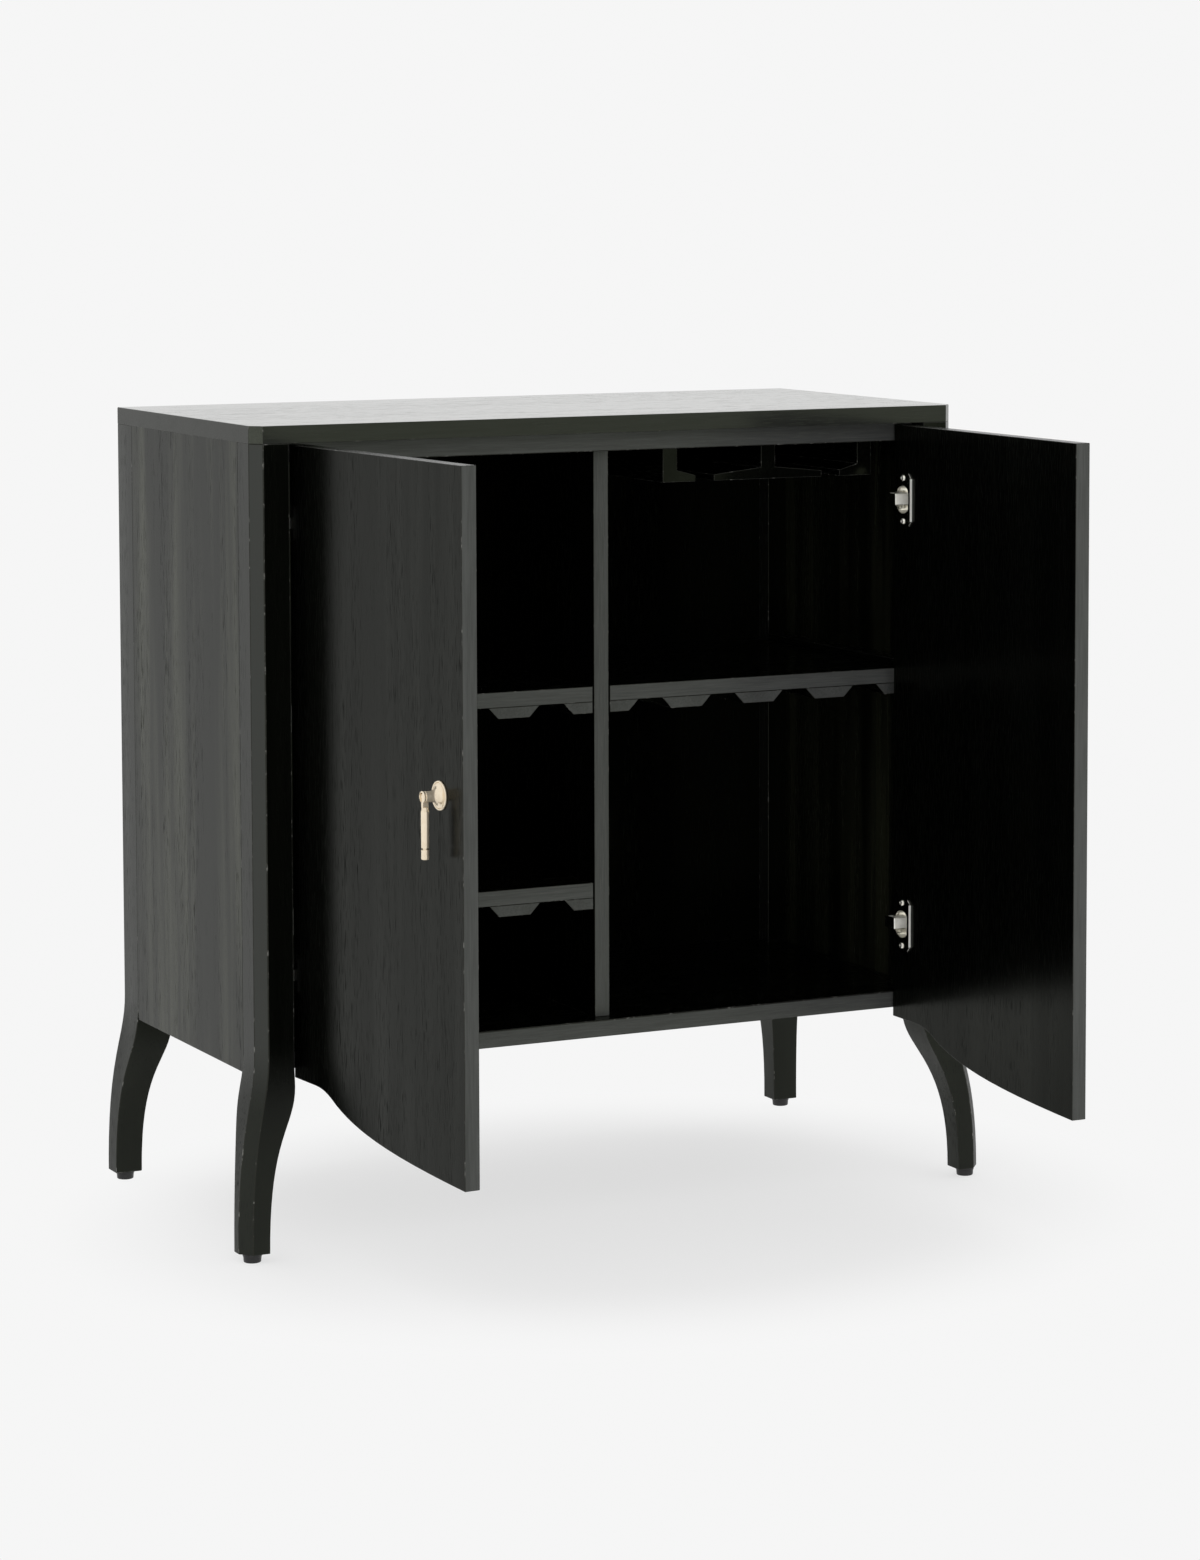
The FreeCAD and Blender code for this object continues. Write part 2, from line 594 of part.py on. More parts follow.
def swung(point, angle):
    """Where a point of the closed left door goes when the door opens by an angle in degrees."""
    turn = math.radians(angle)
    d = point - PIVOT
    x = d.x * math.cos(turn) + d.y * math.sin(turn)
    y = d.y * math.cos(turn) - d.x * math.sin(turn)
    return PIVOT + Vector(x, y, 0)


def build():
    """All pieces by name, with both doors open."""
    pieces = {}
    pieces["top_panel"] = top_panel()
    pieces["left_side_panel"] = block(
        -SIDE_X, -SIDE_INNER_X, POST_DEPTH, REAR_POST_Y, CASE_BOTTOM, TOP_UNDERSIDE
    )
    pieces["right_side_panel"] = mirrored(pieces["left_side_panel"])
    pieces["back_panel"] = block(
        -POST_INNER_X, POST_INNER_X, BACK_FRONT_Y, BACK_FRONT_Y + BACK_THICKNESS,
        FLOOR_UNDERSIDE, TOP_UNDERSIDE,
    )
    pieces["floor_panel"] = floor_panel()
    pieces["left_floor_cleat"] = block(
        -SIDE_INNER_X, -POST_INNER_X, POST_DEPTH, REAR_POST_Y, FLOOR_UNDERSIDE, FLOOR_TOP - FLOOR_BEVEL
    )
    pieces["right_floor_cleat"] = mirrored(pieces["left_floor_cleat"])
    pieces["front_top_rail"] = block(
        -POST_INNER_X, POST_INNER_X, FRONT_RECESS, INSIDE_FRONT_Y,
        TOP_UNDERSIDE - RAIL_HEIGHT, TOP_UNDERSIDE,
    )

    front = (0.0, 1, FRONT_FLARE_X, FRONT_FLARE_Y)
    rear = (CASE_DEPTH, -1, REAR_FLARE_X, REAR_FLARE_Y)
    pieces["front_left_leg"] = left_leg(*front).cut(front_corner_cut())
    pieces["rear_left_leg"] = left_leg(*rear)
    pieces["foot_glides"] = glides([foot_middle(*front), foot_middle(*rear)])

    divider = block(-DIVIDER_X, DIVIDER_X, INSIDE_FRONT_Y, BACK_FRONT_Y, FLOOR_TOP, TOP_UNDERSIDE)
    pins = []
    shelves = {
        "right": (UPPER_SHELF_TOP, False),
        "left_upper": (UPPER_SHELF_TOP, True),
        "left_lower": (LOWER_SHELF_TOP, True),
    }
    for name, (shelf_top, left) in shelves.items():
        inner_pins = shelf_pins(DIVIDER_X, 1, shelf_top)
        outer_pins = shelf_pins(POST_INNER_X, -1, shelf_top)
        group = {
            "_shelf": right_shelf(shelf_top),
            "_shelf_battens": right_battens(shelf_top),
            "_shelf_rail": right_shelf_rail(shelf_top).cut(outer_pins),
        }
        if left:
            group = {suffix: mirrored(piece) for suffix, piece in group.items()}
            inner_pins = [mirrored(pin) for pin in inner_pins]
            outer_pins = [mirrored(pin) for pin in outer_pins]
        for suffix, piece in group.items():
            pieces[name + suffix] = piece
        divider = divider.cut(inner_pins)
        pins += inner_pins + outer_pins
    pieces["divider_panel"] = divider
    pieces["shelf_pins"] = Part.makeCompound(pins)

    pieces["left_stem_rail"] = stem_rail(BAY_MIDDLE_X - STEM_SPACING, 0.0, SIDE_LEDGE)
    pieces["middle_stem_rail"] = stem_rail(BAY_MIDDLE_X, MIDDLE_LEDGE, MIDDLE_LEDGE)
    pieces["right_stem_rail"] = stem_rail(BAY_MIDDLE_X + STEM_SPACING, SIDE_LEDGE, 0.0)

    case_screws = []
    for z in HINGES_Z:
        pair = [screw(place, X_AXIS, PLATE_THICKNESS) for place in case_screw_places(z)]
        pieces["front_left_leg"] = pieces["front_left_leg"].cut(pair)
        case_screws += pair
    for name, make in (("arms", hinge_arm), ("plates", hinge_plate)):
        pair = [make(z) for z in HINGES_Z]
        pieces["left_hinge_" + name] = Part.makeCompound(pair)
        pieces["right_hinge_" + name] = mirrored(pieces["left_hinge_" + name])
    pieces["case_hinge_screws"] = Part.makeCompound(case_screws + [mirrored(s) for s in case_screws])
    pieces["front_right_leg"] = mirrored(pieces["front_left_leg"])
    pieces["rear_right_leg"] = mirrored(pieces["rear_left_leg"])

    for name, piece in left_door_pieces().items():
        left = piece.copy()
        left.rotate(PIVOT, Z_AXIS, -LEFT_OPEN_ANGLE)
        pieces["left_" + name] = left
        right = mirrored(piece)
        right.rotate(Vector(-PIVOT.x, PIVOT.y, 0), Z_AXIS, RIGHT_OPEN_ANGLE)
        pieces["right_" + name] = right
    return pieces


# The origin lies on the floor under the middle of the cabinet as it stands, doors open
free_corners = [Vector(DOOR_FREE_X, y, 0) for y in (0.0, DOOR_THICKNESS)]
front_y = min(swung(c, a).y for c in free_corners for a in (LEFT_OPEN_ANGLE, RIGHT_OPEN_ANGLE))
rear_y = CASE_DEPTH + REAR_FLARE_Y
ORIGIN_Y = (front_y + rear_y) / 2

os.makedirs("parts", exist_ok=True)
for node, shape in build().items():
    moved(shape, 0, -ORIGIN_Y, 0).exportStep("parts/" + node + ".step")
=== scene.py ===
"""Looks of the bar cabinet: black open-pored wood, bright nickel hinges and pale brass drop pulls.

Every size is in metres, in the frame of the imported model: X to the right, Y into the depth, Z up.
"""

import json
import logging
import math
from dataclasses import dataclass, field
from enum import Enum, IntEnum
from typing import Any, Mapping, NamedTuple, Sequence

import bmesh
import bpy
from mathutils import Matrix, Vector


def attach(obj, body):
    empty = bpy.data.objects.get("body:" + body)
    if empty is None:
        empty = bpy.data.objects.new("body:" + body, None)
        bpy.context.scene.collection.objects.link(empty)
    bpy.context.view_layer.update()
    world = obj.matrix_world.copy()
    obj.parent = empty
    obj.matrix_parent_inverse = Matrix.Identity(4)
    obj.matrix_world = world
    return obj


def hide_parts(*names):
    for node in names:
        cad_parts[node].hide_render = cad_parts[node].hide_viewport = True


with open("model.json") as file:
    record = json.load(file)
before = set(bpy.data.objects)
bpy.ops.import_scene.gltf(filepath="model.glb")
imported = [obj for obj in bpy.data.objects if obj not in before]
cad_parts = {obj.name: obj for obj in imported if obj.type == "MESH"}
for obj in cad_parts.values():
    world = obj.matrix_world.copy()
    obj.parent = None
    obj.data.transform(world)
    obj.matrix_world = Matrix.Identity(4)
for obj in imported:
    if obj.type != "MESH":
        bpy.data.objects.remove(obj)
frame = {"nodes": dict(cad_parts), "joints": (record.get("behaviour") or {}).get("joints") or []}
log = logging.getLogger("bar_cabinet")

Colour = tuple[float, float, float]
Point = tuple[float, float]
Profile = tuple[Point, ...]
Span = tuple[float, float]
SAME_POINT = 2e-6


class Side(Enum):
    """Which half of the cabinet a piece belongs to."""

    LEFT = "left"
    RIGHT = "right"

    @property
    def sign(self) -> int:
        """Sign of X on this side."""
        return -1 if self is Side.LEFT else 1


OPEN_AT_REST: dict[Side, float] = {Side.LEFT: 86.0, Side.RIGHT: 90.0}


class Grain(Enum):
    """The axis that the wood's fibres follow, as the stretch of its pattern along each axis."""

    X = (0.045, 1.0, 1.0)
    Y = (1.0, 0.045, 1.0)
    Z = (1.0, 1.0, 0.045)


class Cut(Enum):
    """How a piece was cut and how its lacquer has aged.

    FACE is planed; FRONT is a board whose front-facing faces get a lighter base colour as painted light;
    LIP has a share of that painted light on its front edge and cut corners; CLOUDED is an outer side with
    a hazy lacquer; FOOTED is a leg that is duller towards its foot, with painted light on its sides and
    chamfers; and ARRIS is the rubbed edge.
    """

    FACE = "face"
    FRONT = "front"
    LIP = "lip"
    CLOUDED = "clouded"
    FOOTED = "footed"
    ARRIS = "arris"


class Polish(Enum):
    """Roughness and refractive index of the finish between the pores."""

    SATIN = (0.11, 1.27)
    SILK = (0.19, 1.22)
    BRIGHT = (0.035, 1.8)


class Facets(IntEnum):
    """How many facets go round a turned piece."""

    SMALL = 24
    SCREW = 32
    USUAL = 48
    FINE = 64


class Texture(NamedTuple):
    """Scale, detail and roughness of a noise."""

    scale: float
    detail: float = 2.0
    rough: float = 0.5


class Wire:
    """A shader socket that takes part in Python expressions; each operator adds a Math node."""

    def __init__(self, tree: bpy.types.NodeTree, socket: bpy.types.NodeSocket) -> None:
        """Keep the socket and the tree that it belongs to."""
        self.tree = tree
        self.socket = socket

    def _math(self, operation: str, first: "Wire | float", second: "Wire | float") -> "Wire":
        """Join two values with a Math node.

        Args:
            operation: the Math node's operation.
            first: the upper input.
            second: the lower input.

        Returns:
            The node's output.
        """
        node = self.tree.nodes.new("ShaderNodeMath")
        node.operation = operation
        for place, value in enumerate((first, second)):
            if isinstance(value, Wire):
                self.tree.links.new(value.socket, node.inputs[place])
            else:
                node.inputs[place].default_value = value
        return Wire(self.tree, node.outputs[0])

    def __add__(self, other: "Wire | float") -> "Wire":
        """Sum."""
        return self._math("ADD", self, other)

    def __radd__(self, other: float) -> "Wire":
        """Sum with a number on the left."""
        return self._math("ADD", other, self)

    def __sub__(self, other: "Wire | float") -> "Wire":
        """Difference."""
        return self._math("SUBTRACT", self, other)

    def __rsub__(self, other: float) -> "Wire":
        """Difference from a number."""
        return self._math("SUBTRACT", other, self)

    def __mul__(self, other: "Wire | float") -> "Wire":
        """Product."""
        return self._math("MULTIPLY", self, other)

    def __rmul__(self, other: float) -> "Wire":
        """Product with a number on the left."""
        return self._math("MULTIPLY", other, self)

    def __or__(self, other: "Wire | float") -> "Wire":
        """The larger of two values."""
        return self._math("MAXIMUM", self, other)


class Shading:
    """The node tree of one material or of the world."""

    facing_levels: Span = (0.85, 0.97)
    chamfer_levels: Span = (0.03, 0.12)

    def __init__(self, tree: bpy.types.NodeTree) -> None:
        """Start from an empty tree."""
        self.tree = tree
        tree.nodes.clear()

    def node(self, kind: str, settings: Mapping[str, Any] | None = None,
             inputs: Mapping[str | int, Any] | None = None, out: str | int = 0) -> Wire:
        """Add a node of any type.

        Args:
            kind: the node's Blender type.
            settings: its properties, set before its sockets are filled.
            inputs: what each socket holds, either a value or a wire.
            out: the output to return.

        Returns:
            The chosen output, or the first input of a node that has no outputs.
        """
        node = self.tree.nodes.new(kind)
        for name, value in (settings or {}).items():
            setattr(node, name, value)
        for place, value in (inputs or {}).items():
            if isinstance(value, Wire):
                self.tree.links.new(value.socket, node.inputs[place])
            else:
                node.inputs[place].default_value = value
        return Wire(self.tree, node.outputs[out] if len(node.outputs) else node.inputs[0])

    def object_place(self) -> Wire:
        """Coordinates that stay with the piece."""
        return self.node("ShaderNodeTexCoord", out="Object")

    def part(self, vector: Wire, axis: str) -> Wire:
        """The part of a vector along one axis: X, Y or Z."""
        return self.node("ShaderNodeSeparateXYZ", None, {0: vector}, axis)

    def facing(self, axis: str, sign: float) -> Wire:
        """1 on surfaces that look along one axis of their piece, and 0 on the others.

        Args:
            axis: X, Y or Z.
            sign: 1 or -1, the way along it.
        """
        normal = self.node("ShaderNodeTexCoord", out="Normal")
        return self.step(sign * self.part(normal, axis), *self.facing_levels)

    def chamfered(self) -> Wire:
        """1 on upright chamfers, whose normal lies between the piece's X and Y, and 0 elsewhere."""
        normal = self.node("ShaderNodeTexCoord", out="Normal")
        slant = self.part(normal, "X") * self.part(normal, "Y")
        return self.step(slant * slant, *self.chamfer_levels)

    def stretched(self, vector: Wire, factors: Sequence[float]) -> Wire:
        """A vector with each axis scaled by its own factor."""
        return self.node("ShaderNodeVectorMath", {"operation": "MULTIPLY"}, {0: vector, 1: tuple(factors)})

    def noise(self, vector: Wire, texture: Texture) -> Wire:
        """Smooth noise between 0 and 1."""
        return self.node("ShaderNodeTexNoise", {"noise_dimensions": "3D"},
                         {"Vector": vector, "Scale": texture.scale, "Detail": texture.detail,
                          "Roughness": texture.rough})

    def step(self, value: Wire, low: float, high: float) -> Wire:
        """A soft step from 0 at low to 1 at high."""
        return self.node("ShaderNodeMapRange", {"interpolation_type": "SMOOTHSTEP"},
                         {"Value": value, "From Min": low, "From Max": high})

    def blended(self, factor: Wire, first: Any, second: Any) -> Wire:
        """A colour between two others."""
        return self.node("ShaderNodeMix", {"data_type": "RGBA"}, {0: factor, 6: first, 7: second}, 2)

    def bump(self, strength: float, depth: float, height: Wire) -> Wire:
        """A normal that follows a small relief."""
        return self.node("ShaderNodeBump", None,
                         {"Strength": strength, "Distance": depth, "Height": height})

    def surface(self, kind: str, inputs: Mapping[str | int, Any],
                output: str = "ShaderNodeOutputMaterial") -> None:
        """End the tree with a shader on its surface output.

        Args:
            kind: the shader's Blender type.
            inputs: what each of its sockets holds.
            output: the output node's Blender type.
        """
        self.node(output, None, {"Surface": self.node(kind, None, inputs)})


def opaque(colour: Colour) -> tuple[float, float, float, float]:
    """A colour with full alpha, as sockets hold it."""
    return (*colour, 1.0)


def grey(level: float) -> tuple[float, float, float, float]:
    """A neutral colour with full alpha."""
    return opaque((level, level, level))


def new_shading(name: str) -> tuple[bpy.types.Material, Shading]:
    """A new material and its empty tree."""
    material = bpy.data.materials.new(name)
    material.use_nodes = True
    return material, Shading(material.node_tree)


@dataclass(frozen=True)
class Stain:
    """Colours of the wood: under lacquer, in the pores, painted light on front edges, chamfers and legs,
    rubbed through and hazy.

    The sheen tints what the lacquer mirrors.
    """

    deep: Colour = (0.0007, 0.0008, 0.0007)
    pale: Colour = (0.0020, 0.0022, 0.0018)
    filler: Colour = (0.0024, 0.0026, 0.0022)
    # The next two are painted light: lighter colours that stand in for frontal light on front faces,
    # chamfers and legs.
    painted_light_deep: Colour = (0.056, 0.0575, 0.056)
    painted_light_pale: Colour = (0.090, 0.0924, 0.090)
    rubbed: Colour = (0.22, 0.217, 0.205)
    haze: Colour = (0.026, 0.0275, 0.0165)
    sheen: Colour = (0.88, 1.0, 0.66)


@dataclass(frozen=True)
class Figure:
    """The wood's pattern: its noises, the levels between which each shows, and their relief."""

    board_shift: Colour = (7.3, 3.1, 5.7)
    bands: Texture = Texture(24.0, 3.0, 0.6)
    band_share: float = 0.55
    fibres: Texture = Texture(460.0, 2.0, 0.6)
    tone_levels: Span = (0.3, 0.72)
    crowd: Texture = Texture(40.8)
    crowd_levels: Span = (0.35, 0.7)
    pores: Texture = Texture(980.0, 1.0)
    pore_levels: Span = (0.56, 0.68)
    lone_pores: float = 0.3
    clouds: Texture = Texture(17.0, 4.0, 0.62)
    cloud_levels: Span = (0.42, 0.72)
    wear: Texture = Texture(90.0, 4.0, 0.7)
    wear_levels: Span = (0.56, 0.7)
    relief: float = 0.12
    pore_depth: float = 0.0001
    fibre_height: float = 0.25


@dataclass(frozen=True)
class Lacquer:
    """How the finish varies: shares of another look from 0 to 1, some of them painted light, and amounts of
    added roughness.
    """

    dry_index: float = 1.08
    filled: float = 0.8
    tone_rough: float = 0.04
    pore_rough: float = 0.3
    dry_pores: float = 0.85
    dry_pores_flat: float = 0.25
    patchy: float = 0.32
    side_rough: float = 0.08
    edge_rough: float = 0.1
    edge_sealed: float = 0.7
    # The lip, corner, chamfer and leg shares are of painted light: a lighter base colour where frontal
    # light falls.
    lip_light_share: float = 0.22
    corner_light_share: float = 0.45
    pores_in_haze: float = 0.6
    haze_rough: float = 0.05
    dull_heights: Span = (0.16, 0.25)
    foot_rough: float = 0.24
    leg_light_share: float = 0.25
    chamfer_light_share: float = 0.85
    foot_chamfer_light: float = 0.4
    arris_share: float = 0.1
    speck_share: float = 0.7
    speck_rough: float = 0.2


@dataclass
class Coat:
    """The wires of one wood finish while it is put together."""

    s: Shading
    place: Wire
    tone: Wire
    fibres: Wire
    pores: Wire
    patch: Wire
    colour: Wire
    rough: Wire
    starved: Wire


@dataclass(frozen=True)
class EbonisedWood:
    """Black stained hardwood with open pores under a thin lacquer."""

    slot: str = "ebonised_wood"
    stain: Stain = field(default_factory=Stain)
    figure: Figure = field(default_factory=Figure)
    lacquer: Lacquer = field(default_factory=Lacquer)

    def material(self, grain: Grain, cut: Cut, polish: Polish) -> bpy.types.Material:
        """Make the wood for one grain direction.

        Args:
            grain: the axis that the fibres follow.
            cut: how the piece was cut and where light is painted on it; on an arris the stain is rubbed
                through in specks.
            polish: how bright the lacquer is.

        Returns:
            The finished material.
        """
        material, s = new_shading(f"{self.slot}_{grain.name}_{cut.name}_{polish.name}".lower())
        roughness, full_index = polish.value
        starved_index = self.lacquer.dry_index
        coat = self.planed(s, grain, roughness)
        if polish is Polish.BRIGHT:
            self.polish_top(coat)
            starved_index = Polish.SATIN.value[1]
        finishes = {Cut.FRONT: self.paint_front_light, Cut.LIP: self.paint_lip_light, Cut.CLOUDED: self.cloud,
                    Cut.FOOTED: self.dull_and_light_leg, Cut.ARRIS: self.rub}
        if cut in finishes:
            finishes[cut](coat)
        height = self.figure.fibre_height * coat.fibres - coat.pores
        bump = s.bump(self.figure.relief, self.figure.pore_depth, height)
        full, dry = (s.node("ShaderNodeBsdfPrincipled", None,
                            {"Base Color": coat.colour, "Roughness": coat.rough, "Normal": bump,
                             "IOR": index, "Specular Tint": opaque(self.stain.sheen)})
                     for index in (full_index, starved_index))
        s.surface("ShaderNodeMixShader", {0: coat.starved, 1: full, 2: dry})
        return material

    def planed(self, s: Shading, grain: Grain, roughness: float) -> Coat:
        """Start a finish with what every piece has: bands, fibres, pores and a patchy lacquer.

        Args:
            s: the material's tree.
            grain: the axis that the fibres follow.
            roughness: that of the lacquer between the pores.

        Returns:
            The finish of a plain face.
        """
        figure, lacquer, stain = self.figure, self.lacquer, self.stain
        board = s.node("ShaderNodeObjectInfo", out="Random")
        shift = s.node("ShaderNodeVectorMath", {"operation": "SCALE"},
                       {0: figure.board_shift, "Scale": board})
        place = s.node("ShaderNodeVectorMath", {"operation": "ADD"}, {0: s.object_place(), 1: shift})
        along = s.stretched(place, grain.value)
        bands = s.noise(along, figure.bands)
        fibres = s.noise(along, figure.fibres)
        tone = s.step(figure.band_share * bands + (1.0 - figure.band_share) * fibres, *figure.tone_levels)
        crowd = s.step(s.noise(along, figure.crowd), *figure.crowd_levels)
        pores = (s.step(s.noise(along, figure.pores), *figure.pore_levels)
                 * (figure.lone_pores + (1.0 - figure.lone_pores) * crowd))
        patch = s.step(s.noise(along, figure.clouds), *figure.cloud_levels)
        stained = s.blended(tone, opaque(stain.deep), opaque(stain.pale))
        dry_pores = lacquer.dry_pores_flat if grain is Grain.X else lacquer.dry_pores
        return Coat(s, place, tone, fibres, pores, patch,
                    colour=s.blended(lacquer.filled * pores, stained, opaque(stain.filler)),
                    rough=roughness + lacquer.tone_rough * tone + lacquer.pore_rough * pores,
                    starved=pores * dry_pores | lacquer.patchy * (1.0 - patch))

    def polish_top(self, coat: Coat) -> None:
        """Keep a bright lacquer on the upward face alone."""
        side = 1.0 - coat.s.facing("Z", 1.0)
        coat.starved = coat.starved | side
        coat.rough = coat.rough + self.lacquer.side_rough * side

    def paint_edge_light(self, coat: Coat, edge: Wire) -> None:
        """Paint light where edge is 1: a lighter base colour, with a little more roughness and a less
        starved lacquer.
        """
        s = coat.s
        edge_light = s.blended(coat.tone, opaque(self.stain.painted_light_deep), opaque(self.stain.painted_light_pale))
        coat.colour = s.blended(edge, coat.colour, edge_light)
        coat.rough = coat.rough + self.lacquer.edge_rough * edge
        coat.starved = coat.starved * (1.0 - self.lacquer.edge_sealed * edge)

    def paint_front_light(self, coat: Coat) -> None:
        """Paint light on a board's front-facing faces."""
        self.paint_edge_light(coat, coat.s.facing("Y", -1.0))

    def paint_lip_light(self, coat: Coat) -> None:
        """Paint a share of light on a board's front edge and on its cut corners."""
        front = self.lacquer.lip_light_share * coat.s.facing("Y", -1.0)
        self.paint_edge_light(coat, front | self.lacquer.corner_light_share * coat.s.chamfered())

    def cloud(self, coat: Coat) -> None:
        """Haze the lacquer in patches."""
        hazy = coat.patch * (1.0 - self.lacquer.pores_in_haze * coat.pores)
        coat.colour = coat.s.blended(hazy, coat.colour, opaque(self.stain.haze))
        coat.rough = coat.rough + self.lacquer.haze_rough * coat.patch

    def dull_and_light_leg(self, coat: Coat) -> None:
        """Dull a leg towards its foot, and paint light on it: on its chamfers, less below the knee, and on
        its other faces but the front above the knee, which stays in shade.
        """
        s, lacquer = coat.s, self.lacquer
        height = s.part(s.node("ShaderNodeNewGeometry", out="Position"), "Z")
        post = s.step(height, *lacquer.dull_heights)
        coat.rough = coat.rough + lacquer.foot_rough * (1.0 - post)
        wear_and_painted_light = (lacquer.chamfer_light_share * s.chamfered()
                * (lacquer.foot_chamfer_light + (1.0 - lacquer.foot_chamfer_light) * post))
        leg_light = lacquer.leg_light_share * (1.0 - post * s.facing("Y", -1.0)) | wear_and_painted_light
        coat.colour = s.blended(leg_light, coat.colour, opaque(self.stain.painted_light_deep))

    def rub(self, coat: Coat) -> None:
        """Rub the stain through in specks."""
        lacquer = self.lacquer
        speck = coat.s.step(coat.s.noise(coat.place, self.figure.wear), *self.figure.wear_levels)
        wear_and_painted_light = lacquer.arris_share + lacquer.speck_share * speck
        coat.colour = coat.s.blended(wear_and_painted_light, coat.colour, opaque(self.stain.rubbed))
        coat.rough = coat.rough + lacquer.speck_rough * speck


@dataclass(frozen=True)
class TurnedMetal:
    """Plated or solid metal with fine tool marks and a little handling dullness.

    Front highlight is how far the metal loses its mirror on faces that look along the piece's front, so
    that its pale base colour shows there as a painted highlight.
    """

    slot: str
    clean: Colour
    dull: Colour
    gloss: float
    metallic: float
    front_highlight: float = 0.0
    cloudy: float = 0.3
    clouds: Texture = Texture(160.0, 3.0, 0.6)
    cloud_levels: Span = (0.35, 0.75)
    cloud_rough: float = 0.06
    marks: Texture = Texture(900.0)
    mark_stretch: Colour = (1.0, 1.0, 6.0)
    mark_rough: float = 0.05
    relief: float = 0.08
    mark_depth: float = 0.00008

    def material(self) -> bpy.types.Material:
        """Make the metal."""
        material, s = new_shading(self.slot)
        place = s.object_place()
        cloud = s.step(s.noise(place, self.clouds), *self.cloud_levels)
        marks = s.noise(s.stretched(place, self.mark_stretch), self.marks)
        # Faces looking to the front lose their mirror and show the pale base colour as a painted highlight.
        metallic = self.metallic - self.front_highlight * s.facing("Y", -1.0) if self.front_highlight else self.metallic
        s.surface("ShaderNodeBsdfPrincipled",
                  {"Base Color": s.blended(self.cloudy * cloud, opaque(self.clean), opaque(self.dull)),
                   "Roughness": self.gloss + self.cloud_rough * cloud + self.mark_rough * marks,
                   "Metallic": metallic, "Normal": s.bump(self.relief, self.mark_depth, marks)})
        return material


@dataclass(frozen=True)
class GlideNylon:
    """Black moulded nylon of the foot glides."""

    slot: str = "glide_nylon"
    deep: Colour = (0.006, 0.006, 0.006)
    scuffed: Colour = (0.03, 0.03, 0.029)
    scuffs: Texture = Texture(240.0, 4.0, 0.7)
    scuff_levels: Span = (0.5, 0.75)
    scuff_rough: float = 0.2
    mould: Texture = Texture(2600.0)
    relief: float = 0.2
    mould_depth: float = 0.0001
    gloss: float = 0.42

    def material(self) -> bpy.types.Material:
        """Make the nylon, with a moulded texture and scuffs."""
        material, s = new_shading(self.slot)
        place = s.object_place()
        scuff = s.step(s.noise(place, self.scuffs), *self.scuff_levels)
        bump = s.bump(self.relief, self.mould_depth, s.noise(place, self.mould))
        s.surface("ShaderNodeBsdfPrincipled",
                  {"Base Color": s.blended(scuff, opaque(self.deep), opaque(self.scuffed)),
                   "Roughness": self.gloss + self.scuff_rough * scuff, "Normal": bump})
        return material


class Palette:
    """Every finish of the cabinet, each made once."""

    def __init__(self) -> None:
        """Make the materials."""
        self.ebonised = EbonisedWood()
        self.made: dict[tuple[Grain, Cut, Polish], bpy.types.Material] = {}
        self.nickel = TurnedMetal("bright_nickel", clean=(0.97, 0.96, 0.91), dull=(0.80, 0.77, 0.69),
                                  gloss=0.1, metallic=1.0, front_highlight=0.9).material()
        self.brass = TurnedMetal("pale_brass", clean=(0.95, 0.83, 0.64), dull=(0.74, 0.59, 0.40),
                                 gloss=0.14, metallic=0.65).material()
        self.nylon = GlideNylon().material()

    def wood(self, grain: Grain, cut: Cut, polish: Polish) -> bpy.types.Material:
        """The wood for one grain, cut and polish, made when it is first asked for."""
        key = (grain, cut, polish)
        if key not in self.made:
            self.made[key] = self.ebonised.material(*key)
        return self.made[key]


